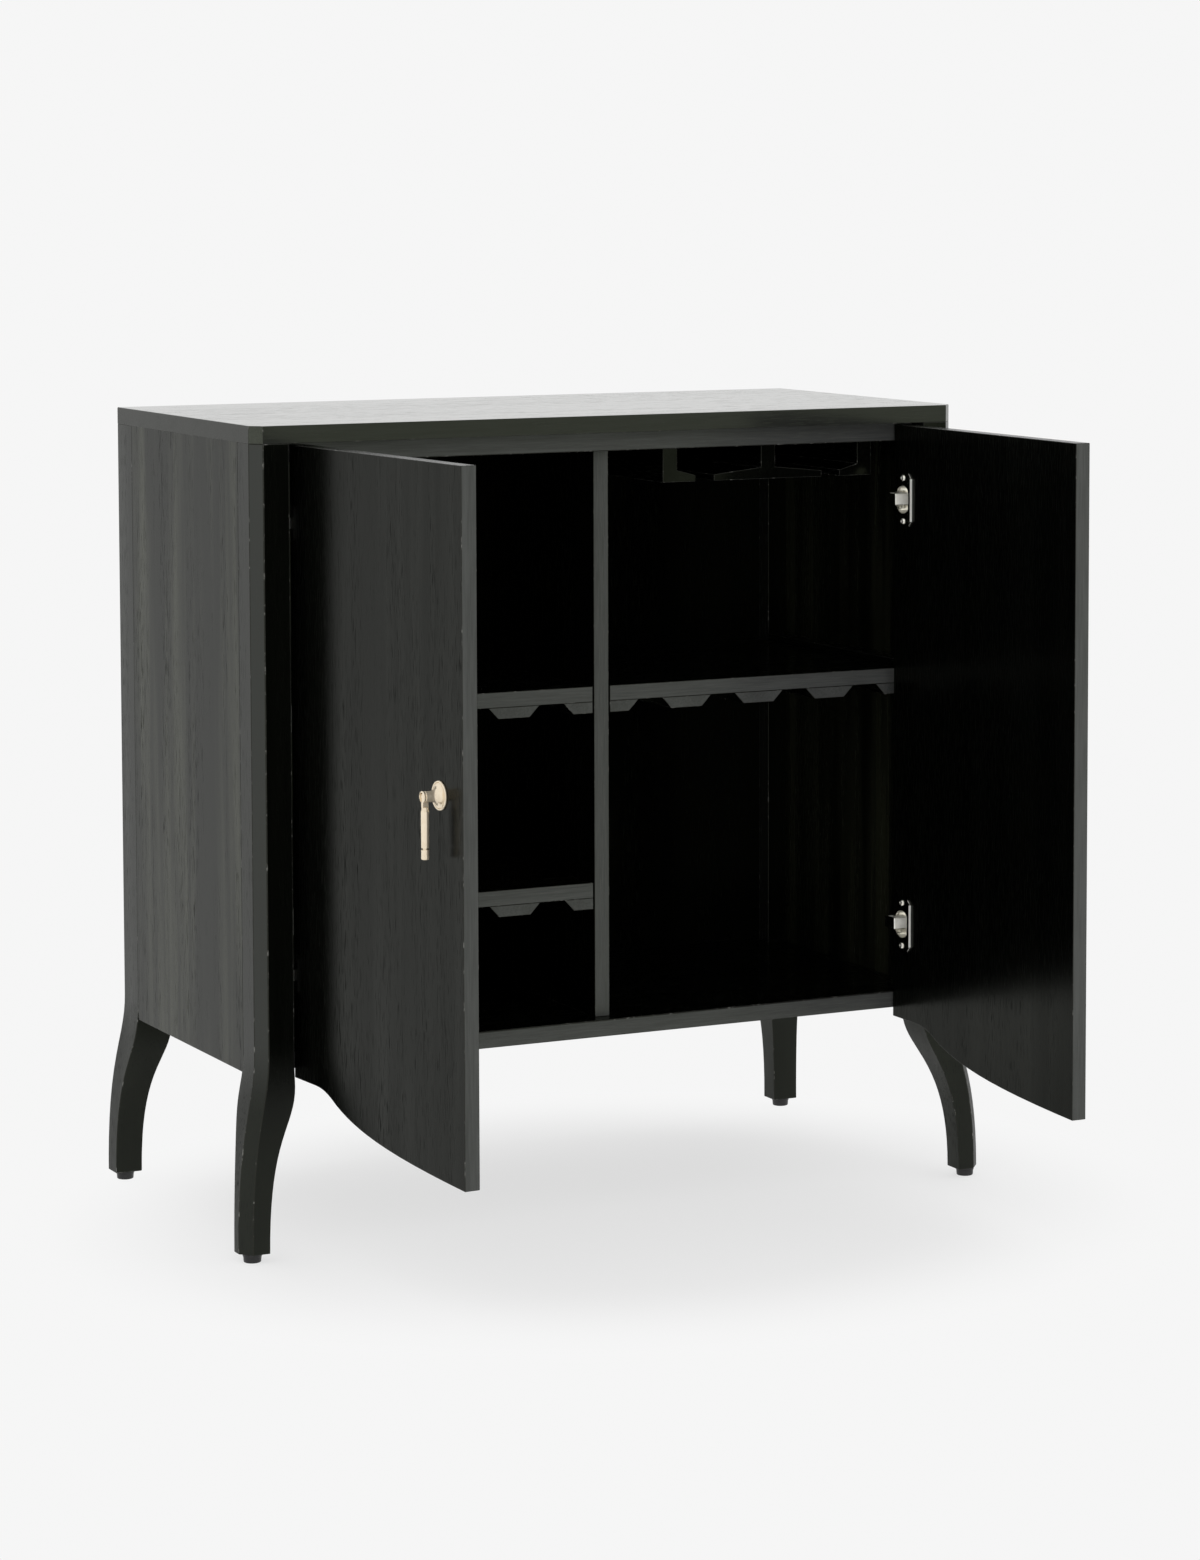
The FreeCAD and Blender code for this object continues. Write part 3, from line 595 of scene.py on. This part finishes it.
@dataclass
class Studio:
    """A plain white floor under even white light."""

    floor_half: float = 40.0
    paper: float = 0.92
    light: float = 0.95
    shade: float = 0.32
    shade_box: Point = (0.56, 0.50)
    shade_fade: Span = (0.7, 1.25)
    fibre: Texture = Texture(30.0, 3.0)
    fleck_share: float = 0.02
    fleck_tone: float = 0.98

    def build(self) -> None:
        """Make the floor and the light."""
        bpy.context.scene.view_settings.view_transform = "Standard"
        bm = bmesh.new()
        bmesh.ops.create_grid(bm, x_segments=1, y_segments=1, size=self.floor_half)
        mesh = bpy.data.meshes.new("studio_floor")
        bm.to_mesh(mesh)
        bm.free()
        floor = bpy.data.objects.new("studio_floor", mesh)
        bpy.context.scene.collection.objects.link(floor)
        mesh.materials.append(self.floor_material())
        self.light_world()

    def floor_material(self) -> bpy.types.Material:
        """White paper that keeps a soft part of the shadow under and near the cabinet."""
        material, s = new_shading("studio_paper")
        place = s.object_place()
        spread = s.stretched(place, (1.0 / self.shade_box[0], 1.0 / self.shade_box[1], 0.0))
        away = s.node("ShaderNodeVectorMath", {"operation": "LENGTH"}, {0: spread}, "Value")
        near = 1.0 - s.step(away, *self.shade_fade)
        tone = self.paper / self.light
        sheet = s.blended(self.fleck_share * s.noise(place, self.fibre), grey(tone),
                          grey(tone * self.fleck_tone))
        matt = s.node("ShaderNodeBsdfDiffuse", None, {"Color": sheet})
        glow = s.node("ShaderNodeEmission", None, {"Color": grey(self.paper), "Strength": 1.0})
        s.surface("ShaderNodeMixShader", {0: (1.0 - self.shade * near) * self.seen(s), 1: matt, 2: glow})
        return material

    @staticmethod
    def seen(s: Shading) -> Wire:
        """1 for rays that show the background: straight to the camera, mirrored or through glass."""
        camera, glossy, through = (s.node("ShaderNodeLightPath", out=f"Is {kind} Ray")
                                   for kind in ("Camera", "Glossy", "Transmission"))
        return camera | glossy | through

    def light_world(self) -> None:
        """Surround the cabinet with even white light."""
        world = bpy.data.worlds.new("studio_light")
        bpy.context.scene.world = world
        world.use_nodes = True
        s = Shading(world.node_tree)
        lamp, back = (s.node("ShaderNodeBackground", None, {"Color": grey(level), "Strength": 1.0})
                      for level in (self.light, self.paper))
        s.surface("ShaderNodeMixShader", {0: self.seen(s), 1: lamp, 2: back}, "ShaderNodeOutputWorld")


@dataclass
class Viewpoint:
    """The camera, at the photograph's viewing angle."""

    place: tuple[float, float, float] = (-2.2339, -4.5472, 1.2327)
    yaw: float = -26.561
    pitch: float = -4.841
    roll: float = -0.133
    lens: float = 100.63
    sensor: float = 36.0
    shift: Point = (-0.0222, -0.16)

    def build(self) -> None:
        """Make the camera and give it to the scene."""
        data = bpy.data.cameras.new("viewpoint")
        data.lens = self.lens
        data.sensor_width = self.sensor
        data.shift_x, data.shift_y = self.shift
        camera = bpy.data.objects.new("viewpoint", data)
        bpy.context.scene.collection.objects.link(camera)
        turn = turned(self.yaw, "Z") @ turned(90.0 + self.pitch, "X") @ turned(self.roll, "Z")
        camera.matrix_world = Matrix.Translation(self.place) @ turn
        bpy.context.scene.camera = camera


def turned(degrees: float, axis: str) -> Matrix:
    """A turn about one axis."""
    return Matrix.Rotation(math.radians(degrees), 4, axis)


class Bench:
    """Mesh tools shared by the turned and pressed pieces."""

    on_axis: float = 1e-7

    @staticmethod
    def arc(centre: Point, radius: float, start: float, end: float, steps: int = 6) -> list[Point]:
        """Points along an arc of a profile.

        Args:
            centre: the arc's middle.
            radius: its radius.
            start: the first angle in degrees.
            end: the last angle in degrees.
            steps: how many chords it gets.

        Returns:
            The points, both ends included.
        """
        angles = [math.radians(start + (end - start) * i / steps) for i in range(steps + 1)]
        return [(centre[0] + radius * math.cos(a), centre[1] + radius * math.sin(a)) for a in angles]

    @staticmethod
    def stepped(radius: float, end: float, steps: Profile) -> list[Point]:
        """Points of a turned profile, as steps in from a radius and down from an end.

        Args:
            radius: the radius to step in from.
            end: the height to step down from.
            steps: both steps of each point.
        """
        return [(radius - inward, end - down) for inward, down in steps]

    @staticmethod
    def lathe(profile: Sequence[Point], steps: Facets = Facets.USUAL) -> bmesh.types.BMesh:
        """Turn a profile round the Z axis.

        Args:
            profile: radius and height of each point, from one end to the other.
            steps: how many facets go round.

        Returns:
            The turned mesh.
        """
        bm = bmesh.new()
        turns = [math.tau * i / steps for i in range(steps)]
        rings = []
        for radius, height in profile:
            if radius < Bench.on_axis:
                rings.append([bm.verts.new((0.0, 0.0, height))])
                continue
            rings.append([bm.verts.new((radius * math.cos(t), radius * math.sin(t), height))
                          for t in turns])
        for low, high in zip(rings, rings[1:]):
            for i in range(steps):
                j = (i + 1) % steps
                corners = [low[i % len(low)], low[j % len(low)], high[j % len(high)], high[i % len(high)]]
                bm.faces.new(list(dict.fromkeys(corners)))
        bmesh.ops.recalc_face_normals(bm, faces=bm.faces)
        return bm

    @staticmethod
    def prism(outline: Sequence[Point], low: float, high: float) -> bmesh.types.BMesh:
        """A plate with a closed outline in X and Y, between two heights."""
        bm = bmesh.new()
        face = bm.faces.new([bm.verts.new((x, y, low)) for x, y in outline])
        made = bmesh.ops.extrude_face_region(bm, geom=[face])
        bmesh.ops.translate(bm, vec=(0.0, 0.0, high - low),
                            verts=[v for v in made["geom"] if isinstance(v, bmesh.types.BMVert)])
        bmesh.ops.recalc_face_normals(bm, faces=bm.faces)
        return bm

    @staticmethod
    def mesh(name: str, bm: bmesh.types.BMesh, smooth_below: float = 35.0) -> bpy.types.Mesh:
        """Turn a working mesh into a finished one, smooth but for its sharp edges."""
        mesh = bpy.data.meshes.new(name)
        bm.to_mesh(mesh)
        bm.free()
        mesh.shade_smooth()
        mesh.set_sharp_from_angle(angle=math.radians(smooth_below))
        return mesh

    @staticmethod
    def cut(bm: bmesh.types.BMesh, tool: bmesh.types.BMesh) -> bmesh.types.BMesh:
        """Take a solid tool away from a solid mesh.

        Args:
            bm: the mesh to cut.
            tool: the solid to remove.

        Returns:
            The cut mesh.
        """
        scene = bpy.context.scene.collection
        held = [bpy.data.objects.new("bench", Bench.mesh("bench", part)) for part in (bm, tool)]
        for obj in held:
            scene.objects.link(obj)
        saw = held[0].modifiers.new("saw", "BOOLEAN")
        saw.operation = "DIFFERENCE"
        saw.solver = "EXACT"
        saw.object = held[1]
        result = bmesh.new()
        result.from_object(held[0], bpy.context.evaluated_depsgraph_get())
        for obj in held:
            mesh = obj.data
            bpy.data.objects.remove(obj)
            bpy.data.meshes.remove(mesh)
        return result

    @staticmethod
    def joined(parts: Sequence[tuple[bmesh.types.BMesh, Matrix]]) -> bmesh.types.BMesh:
        """Several meshes, each moved by its matrix, as one."""
        whole = bmesh.new()
        for bm, matrix in parts:
            moved = bm.copy()
            moved.transform(matrix)
            scrap = bpy.data.meshes.new("bench")
            moved.to_mesh(scrap)
            moved.free()
            whole.from_mesh(scrap)
            bpy.data.meshes.remove(scrap)
        return whole

    @staticmethod
    def place(mesh: bpy.types.Mesh, matrix: Matrix, material: bpy.types.Material, body: str,
              slot: str, nodes: Sequence[str]) -> None:
        """Set a finished piece, named as its mesh, in its place.

        Args:
            mesh: its mesh.
            matrix: where it goes at rest.
            material: its finish.
            body: the body that it rides on.
            slot: not used.
            nodes: the CAD nodes that it stands for.
        """
        obj = bpy.data.objects.new(mesh.name, mesh)
        bpy.context.scene.collection.objects.link(obj)
        mesh.materials.clear()
        mesh.materials.append(material)
        obj.matrix_world = matrix
        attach(obj, body)
        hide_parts(*nodes)
        log.info("%s rides on %s", mesh.name, body)

    @staticmethod
    def place_set(name: str, piece: bmesh.types.BMesh, places: Sequence[Matrix],
                  material: bpy.types.Material, body: str, slot: str, node: str) -> None:
        """Set copies of one small mesh, which is used up, as a single piece.

        Args:
            name: the name of the set.
            piece: the mesh of one of them.
            places: where each goes at rest.
            material, body, slot: as for any piece.
            node: the CAD node that they stand for.
        """
        mesh = Bench.mesh(name, Bench.joined([(piece, matrix) for matrix in places]))
        piece.free()
        Bench.place(mesh, Matrix.Identity(4), material, body, slot, [node])


@dataclass(frozen=True)
class Easing:
    """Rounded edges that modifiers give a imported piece.

    The slot is the material index of the rounding, or -1 for that of its neighbours.
    """

    width: float
    sharper_than: float
    slot: int
    segments: int = 2
    flat_within: float = 0.2
    face_weight: int = 100

    def apply(self, obj: bpy.types.Object) -> None:
        """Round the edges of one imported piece."""
        weld = obj.modifiers.new("weld", "WELD")
        weld.merge_threshold = SAME_POINT
        flat = obj.modifiers.new("flat", "DECIMATE")
        flat.decimate_type = "DISSOLVE"
        flat.angle_limit = math.radians(self.flat_within)
        bevel = obj.modifiers.new("ease", "BEVEL")
        bevel.width = self.width
        bevel.segments = self.segments
        bevel.limit_method = "ANGLE"
        bevel.angle_limit = math.radians(self.sharper_than)
        bevel.use_clamp_overlap = False
        bevel.material = self.slot
        shade = obj.modifiers.new("shade", "WEIGHTED_NORMAL")
        shade.keep_sharp = False
        shade.weight = self.face_weight


@dataclass
class Joinery:
    """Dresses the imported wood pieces: a grain direction, eased arrises and a rubbed finish on them."""

    palette: Palette
    ease: float = 0.0006
    sharper_than: float = 24.0
    arris_slot: int = 1

    def dress(self, node: str, grain: Grain, cut: Cut = Cut.FACE, polish: Polish = Polish.SATIN,
              ease: float | None = None) -> None:
        """Finish one packed wood piece.

        Args:
            node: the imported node's name.
            grain: the axis that its fibres follow.
            cut: how its faces are finished.
            polish: how bright its lacquer is.
            ease: the width of its arrises, if not the usual one.
        """
        obj = frame["nodes"][node]
        obj.data.materials.clear()
        for part in (cut, Cut.ARRIS):
            obj.data.materials.append(self.palette.wood(grain, part, polish))
        Easing(self.ease if ease is None else ease, self.sharper_than, self.arris_slot).apply(obj)
        log.info("%s dressed along %s", node, grain.name)


@dataclass
class Carcase:
    """The fixed box: top, sides, back, floor, divider, front rail and the four corner posts."""

    joinery: Joinery
    boards: dict[str, tuple[Grain, Cut, Polish]] = field(default_factory=lambda: {
        "top_panel": (Grain.X, Cut.LIP, Polish.BRIGHT),
        "left_side_panel": (Grain.Z, Cut.CLOUDED, Polish.SATIN),
        "right_side_panel": (Grain.Z, Cut.CLOUDED, Polish.SATIN),
        "back_panel": (Grain.Z, Cut.FACE, Polish.SATIN),
        "floor_panel": (Grain.X, Cut.FRONT, Polish.SATIN),
        "left_floor_cleat": (Grain.Y, Cut.FACE, Polish.SATIN),
        "right_floor_cleat": (Grain.Y, Cut.FACE, Polish.SATIN),
        "front_top_rail": (Grain.X, Cut.FRONT, Polish.SATIN),
        "divider_panel": (Grain.Z, Cut.FRONT, Polish.SATIN),
    })
    seams: dict[str, float] = field(default_factory=lambda: {
        "front_top_rail": 0.0012,
        "top_panel": 0.0004,
        "left_side_panel": 0.0003,
        "right_side_panel": 0.0003,
    })
    legs: tuple[str, ...] = ("front_left_leg", "front_right_leg", "rear_left_leg", "rear_right_leg")
    leg_ease: float = 0.0009

    def dress(self) -> None:
        """Finish the boards and the legs."""
        for node, finish in self.boards.items():
            self.joinery.dress(node, *finish, ease=self.seams.get(node))
        for node in self.legs:
            self.joinery.dress(node, Grain.Z, Cut.FOOTED, ease=self.leg_ease)


@dataclass
class BottleShelves:
    """Three loose shelves with bottle grooves below them, and their side rails."""

    joinery: Joinery
    names: tuple[str, ...] = ("right", "left_upper", "left_lower")

    def dress(self) -> None:
        """Finish the shelves, battens and rails."""
        for name in self.names:
            self.joinery.dress(f"{name}_shelf", Grain.X, Cut.FRONT)
            self.joinery.dress(f"{name}_shelf_battens", Grain.Y, Cut.FRONT)
            self.joinery.dress(f"{name}_shelf_rail", Grain.Y)


@dataclass
class StemRack:
    """Three rails under the top that hold glasses by the foot."""

    joinery: Joinery
    names: tuple[str, ...] = ("left_stem_rail", "middle_stem_rail", "right_stem_rail")

    def dress(self) -> None:
        """Finish the rails."""
        for name in self.names:
            self.joinery.dress(name, Grain.Y)


def joint(name: str) -> Mapping[str, Any]:
    """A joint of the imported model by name."""
    return next(j for j in frame["joints"] if j["name"] == name)


@dataclass
class DropPull:
    """A turned rosette and slotted knob with a drop that hangs from a pin."""

    side: Side
    palette: Palette
    slot: str = "pale_brass"
    hang: float = 0.018
    rosette_radius: float = 0.016
    rosette_thick: float = 0.0022
    rosette_back: Point = (0.0006, 0.0005)
    rosette_bead: float = 0.0011
    rosette_fillet: Profile = ((0.0026, 0.0007), (0.0034, 0.0001), (0.0045, 0.0))
    knob_radius: float = 0.0065
    knob_reach: float = 0.023
    knob_sunk: float = 0.0002
    knob_waist: float = 0.0004
    trumpet: Point = (0.0068, 0.0092)
    knob_groove: Profile = ((0.0004, 0.0044), (0.0007, 0.004), (0.0004, 0.0036))
    nose_down: float = 0.0022
    knob_nose: Profile = ((0.002, 0.0006), (0.003, 0.0002))
    slot_gap: float = 0.0003
    slot_top: float = 0.0047
    slot_back: float = 0.0062
    slot_reach: float = 0.02
    pin_radius: float = 0.0015
    pin_half: float = 0.0058
    pin_ease: float = 0.0003
    drop_radius: float = 0.0045
    drop_top: float = 0.011
    drop_length: float = 0.056
    neck_radius: float = 0.0033
    neck: Profile = ((0.0006, 0.0), (0.0, 0.0004), (-0.0003, 0.0012))
    shoulder: Profile = ((0.0006, 0.0032),)
    shoulder_down: float = 0.0046
    ring_height: float = 0.0116
    ring: Profile = ((0.0002, -0.0012), (0.0003, -0.0009), (0.0020, -0.0007), (0.0020, 0.0007),
                     (0.0001, 0.0009), (0.0, 0.0014), (0.00015, 0.0018))
    foot_inset: float = 0.0013
    soft_edge: float = 0.0012
    tang_thick: float = 0.004
    tang_radius: float = 0.004
    tang_waist: float = 0.0007
    tang_shoulder: float = 0.0018
    tang_sunk: float = 0.0006
    bore_gap: float = 0.00005
    bore_half: float = 0.004

    def hanging_point(self) -> Matrix:
        """Where the drop hangs: X along its pin, Y out of the door, Z up."""
        swing = joint(f"{self.side.value}_pull_swing")
        along = Vector(swing["axis"]).normalized()
        up = Vector((0.0, 0.0, 1.0))
        out = up.cross(along)
        turn = Matrix((along, out, up)).transposed().to_4x4()
        return Matrix.Translation(swing["pos_m"]) @ turn

    def outward(self) -> Matrix:
        """Turns a lathe's Z axis out of the door, with height 0 on the door's face."""
        return Matrix.Translation((0.0, -self.hang, 0.0)) @ turned(-90.0, "X")

    def rosette(self) -> bmesh.types.BMesh:
        """A round back plate with a beaded rim and a fillet inside it."""
        r, t, bead = self.rosette_radius, self.rosette_thick, self.rosette_bead
        inset, lift = self.rosette_back
        profile = [(0.0, 0.0), (r - inset, 0.0), (r, lift),
                   *Bench.arc((r - bead, t - bead), bead, 0.0, 180.0, 10),
                   *Bench.stepped(r, t, self.rosette_fillet), (0.0, t)]
        plate = Bench.lathe(profile, Facets.FINE)
        plate.transform(self.outward())
        return plate

    def knob(self) -> bmesh.types.BMesh:
        """The bar that stands out of the rosette: a trumpet root, a groove and a rounded, slotted nose."""
        r, low, high = self.knob_radius, self.rosette_thick - self.knob_sunk, self.knob_reach
        wide, tall = self.trumpet
        bell = [(r - self.knob_waist + wide * (1.0 + x), low + self.knob_sunk + tall * (1.0 + y))
                for x, y in Bench.arc((0.0, 0.0), 1.0, -90.0, -180.0, 12)]
        profile = [(0.0, low), (r + wide, low), *bell, *Bench.stepped(r, high, self.knob_groove),
                   *Bench.arc((r - self.soft_edge, high - self.nose_down), self.soft_edge, 30.0, 90.0, 5),
                   *Bench.stepped(r, high, self.knob_nose), (0.0, high)]
        bar = Bench.lathe(profile, Facets.FINE)
        bar.transform(self.outward())
        half, back, reach = self.tang_thick / 2 + self.slot_gap, self.slot_back, self.slot_reach
        opening = [(-half, -back), (half, -back), (half, reach), (-half, reach)]
        return Bench.cut(bar, Bench.prism(opening, -reach, self.slot_top))

    def pin(self) -> bmesh.types.BMesh:
        """The pin that the drop hangs from."""
        r, h, e = self.pin_radius, self.pin_half, self.pin_ease
        profile = [(0.0, -h), (r - e, -h), (r, -h + e), (r, h - e), (r - e, h), (0.0, h)]
        bar = Bench.lathe(profile, Facets.SMALL)
        bar.transform(turned(90.0, "Y"))
        return bar

    def drop(self) -> bmesh.types.BMesh:
        """The turned drop: a shoulder, a straight grip, a ring groove and a rounded foot."""
        r, top, soft = self.drop_radius, -self.drop_top, self.soft_edge
        foot = top - self.drop_length
        profile = [(0.0, top), *Bench.stepped(self.neck_radius, top, self.neck),
                   *Bench.stepped(r, top, self.shoulder),
                   *Bench.arc((r - soft, top - self.shoulder_down), soft, 60.0, 0.0, 4),
                   *Bench.stepped(r, foot + self.ring_height, self.ring),
                   *Bench.arc((r - self.foot_inset, foot + soft), soft, 0.0, -90.0, 6), (0.0, foot)]
        grip = Bench.lathe(profile)
        return Bench.joined([(grip, Matrix.Identity(4)), (self.tang(top), Matrix.Identity(4))])

    def tang(self, root: float) -> bmesh.types.BMesh:
        """The flat eye above the drop, from its top up, with a bore for the pin."""
        half, waist = self.tang_thick / 2, self.tang_radius - self.tang_waist
        low, base = -self.tang_shoulder, root - self.tang_sunk
        outline = [*Bench.arc((0.0, 0.0), self.tang_radius, 0.0, 180.0, 20),
                   (-waist, low), (-waist, base), (waist, base), (waist, low)]
        plate = Bench.prism(outline, -half, half)
        outline_upright = Matrix(((0, 0, 1, 0), (1, 0, 0, 0), (0, 1, 0, 0), (0, 0, 0, 1)))
        plate.transform(outline_upright)
        r, h = self.pin_radius + self.bore_gap, self.bore_half
        bore = Bench.lathe([(0.0, -h), (r, -h), (r, h), (0.0, h)], Facets.SMALL)
        bore.transform(turned(90.0, "Y"))
        return Bench.cut(plate, bore)

    def build(self) -> None:
        """Make the four pieces of the pull and set them on the door."""
        where = self.hanging_point()
        name = self.side.value
        pieces = {"rosette": (self.rosette(), f"{name}_door"), "knob": (self.knob(), f"{name}_door"),
                  "pin": (self.pin(), f"{name}_door"), "pendant": (self.drop(), f"{name}_pull")}
        for part, (bm, body) in pieces.items():
            mesh = Bench.mesh(f"{name}_turned_{part}", bm)
            Bench.place(mesh, where, self.palette.brass, body, self.slot, [f"{name}_pull_{part}"])


@dataclass
class CupHinges:
    """The two concealed hinges of one door, with their screws."""

    side: Side
    palette: Palette
    slot: str = "bright_nickel"
    heights: tuple[float, float] = (0.8283, 0.3145)
    cup_from_pivot: float = 0.008
    face_from_pivot: float = 0.0112
    flange_thick: float = 0.0016
    door_screw_half: float = 0.026
    post_face: float = 0.409
    plate_thick: float = 0.0025
    case_screw_y: float = 0.0006
    case_screw_half: float = 0.016
    head_radius: float = 0.0039
    head_height: float = 0.0018
    head_ease: float = 0.0003
    head_round: float = 0.0011
    shank_radius: float = 0.00175
    shank_length: float = 0.011
    tip_share: float = 0.3
    tip_rise: Span = (0.0006, 0.003)
    recess: Point = (0.0021, 0.00045)
    recess_deep: float = 0.0011
    recess_clear: float = 0.001
    easing: Easing = Easing(0.0003, 30.0, -1)

    def dress(self) -> None:
        """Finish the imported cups, pins, arms and plates."""
        for part in ("cups", "pins", "arms", "plates"):
            obj = frame["nodes"][f"{self.side.value}_hinge_{part}"]
            obj.data.materials.clear()
            obj.data.materials.append(self.palette.nickel)
            self.easing.apply(obj)
            log.info("%s dressed in nickel", obj.name)

    def screw(self) -> bmesh.types.BMesh:
        """A screw with a low head and a cross recess, its seat at height 0."""
        r, h, ease, soft = self.head_radius, self.head_height, self.head_ease, self.head_round
        shank, tip = self.shank_radius, -self.shank_length
        blunt, taper = self.tip_rise
        profile = [(0.0, tip), (shank * self.tip_share, tip + blunt), (shank, tip + taper), (shank, 0.0),
                   (r - ease, 0.0), (r, ease), *Bench.arc((r - soft, h - soft), soft, 10.0, 90.0, 5),
                   (0.0, h)]
        a, b = self.recess
        cross = [(a, -b), (a, b), (b, b), (b, a), (-b, a), (-b, b),
                 (-a, b), (-a, -b), (-b, -b), (-b, -a), (b, -a), (b, -b)]
        driver = Bench.prism(cross, h - self.recess_deep, h + self.recess_clear)
        return Bench.cut(Bench.lathe(profile, Facets.SCREW), driver)

    def door_screws(self) -> list[Matrix]:
        """Where the flange screws sit at rest, Z out of the door's inner face."""
        swing = joint(f"{self.side.value}_door_hinge")
        turn = turned(self.side.sign * OPEN_AT_REST[self.side], "Z")
        pivot = Matrix.Translation((swing["pos_m"][0], swing["pos_m"][1], 0.0))
        x = -self.side.sign * self.cup_from_pivot
        y = self.face_from_pivot + self.flange_thick
        return [pivot @ turn @ Matrix.Translation((x, y, z + half)) @ turned(-90.0, "X")
                for z in self.heights for half in (-self.door_screw_half, self.door_screw_half)]

    def case_screws(self) -> list[Matrix]:
        """Where the plate screws sit, Z into the cabinet."""
        x = self.side.sign * (self.post_face - self.plate_thick)
        turn = turned(-90.0 * self.side.sign, "Y")
        return [Matrix.Translation((x, self.case_screw_y, z + half)) @ turn
                for z in self.heights for half in (-self.case_screw_half, self.case_screw_half)]

    def build_door_screws(self) -> None:
        """Make the flange screws of this door."""
        name = self.side.value
        Bench.place_set(f"{name}_flange_screws", self.screw(), self.door_screws(), self.palette.nickel,
                        f"{name}_door", self.slot, f"{name}_door_hinge_screws")


@dataclass
class SmallFittings:
    """Pieces that stand in sets on the case: plate screws, shelf pins and foot glides."""

    palette: Palette
    pin_radius: float = 0.0025
    pin_half: float = 0.007
    pin_ease: float = 0.0006
    glide_top: float = 0.011
    glide_foot: float = 0.010
    glide_height: float = 0.010
    glide_flat: float = 0.0016
    glide_round: float = 0.0014
    glide_collar: Profile = ((0.0006, 0.0034), (0.0001, 0.003), (0.0, 0.0026), (0.0, 0.0004), (0.0004, 0.0))

    def build_plate_screws(self, hinges: Sequence[CupHinges]) -> None:
        """Make the screws that hold the hinge plates of both doors to the posts."""
        places = [matrix for pair in hinges for matrix in pair.case_screws()]
        Bench.place_set("plate_screws", hinges[0].screw(), places, self.palette.nickel, "case",
                        "bright_nickel", "case_hinge_screws")

    @staticmethod
    def centres(node: str) -> list[Vector]:
        """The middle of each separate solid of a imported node.

        Args:
            node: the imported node's name.

        Returns:
            One point for each solid, in the order of the node's vertices.
        """
        bm = bmesh.new()
        bm.from_mesh(frame["nodes"][node].data)
        bmesh.ops.remove_doubles(bm, verts=bm.verts, dist=SAME_POINT)
        waiting = set(bm.verts)
        middles = []
        for seed in list(bm.verts):
            if seed not in waiting:
                continue
            island, queue = [], [seed]
            waiting.discard(seed)
            while queue:
                vert = queue.pop()
                island.append(vert.co.copy())
                near = [e.other_vert(vert) for e in vert.link_edges]
                fresh = [v for v in near if v in waiting]
                waiting.difference_update(fresh)
                queue.extend(fresh)
            low = Vector([min(p[i] for p in island) for i in range(3)])
            high = Vector([max(p[i] for p in island) for i in range(3)])
            middles.append((low + high) / 2)
        bm.free()
        return middles

    def build_shelf_pins(self) -> None:
        """Make the round pins under the shelves."""
        r, h, e = self.pin_radius, self.pin_half, self.pin_ease
        profile = [(0.0, -h), (r - e, -h), *Bench.arc((r - e, -h + e), e, -80.0, 0.0, 3),
                   *Bench.arc((r - e, h - e), e, 0.0, 90.0, 3), (0.0, h)]
        places = [Matrix.Translation(c) @ turned(90.0, "Y") for c in self.centres("shelf_pins")]
        Bench.place_set("round_shelf_pins", Bench.lathe(profile, Facets.SMALL), places,
                        self.palette.nickel, "case", "bright_nickel", "shelf_pins")

    def build_glides(self) -> None:
        """Make the glides under the feet."""
        foot, half, soft = self.glide_foot, self.glide_height / 2, self.glide_round
        profile = [(0.0, -half), (foot - self.glide_flat, -half),
                   *Bench.arc((foot - soft, -half + soft), soft, -80.0, 5.0, 5),
                   *Bench.stepped(self.glide_top, half, self.glide_collar), (0.0, half)]
        places = [Matrix.Translation(c) for c in self.centres("foot_glides")]
        Bench.place_set("moulded_glides", Bench.lathe(profile), places, self.palette.nylon, "case",
                        "glide_nylon", "foot_glides")


def main() -> None:
    """Build the scene in order: camera, studio, wood, hinges, pulls and small fittings."""
    logging.basicConfig(level=logging.INFO, format="%(message)s")
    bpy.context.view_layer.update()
    Viewpoint().build()
    Studio().build()
    palette = Palette()
    joinery = Joinery(palette)
    Carcase(joinery).dress()
    BottleShelves(joinery).dress()
    StemRack(joinery).dress()
    hinges = [CupHinges(side, palette) for side in Side]
    for pair in hinges:
        joinery.dress(f"{pair.side.value}_door", Grain.Z, Cut.FRONT, Polish.SILK)
        pair.dress()
        pair.build_door_screws()
        DropPull(pair.side, palette).build()
    fittings = SmallFittings(palette)
    fittings.build_plate_screws(hinges)
    fittings.build_shelf_pins()
    fittings.build_glides()


if __name__ == "__main__":
    main()
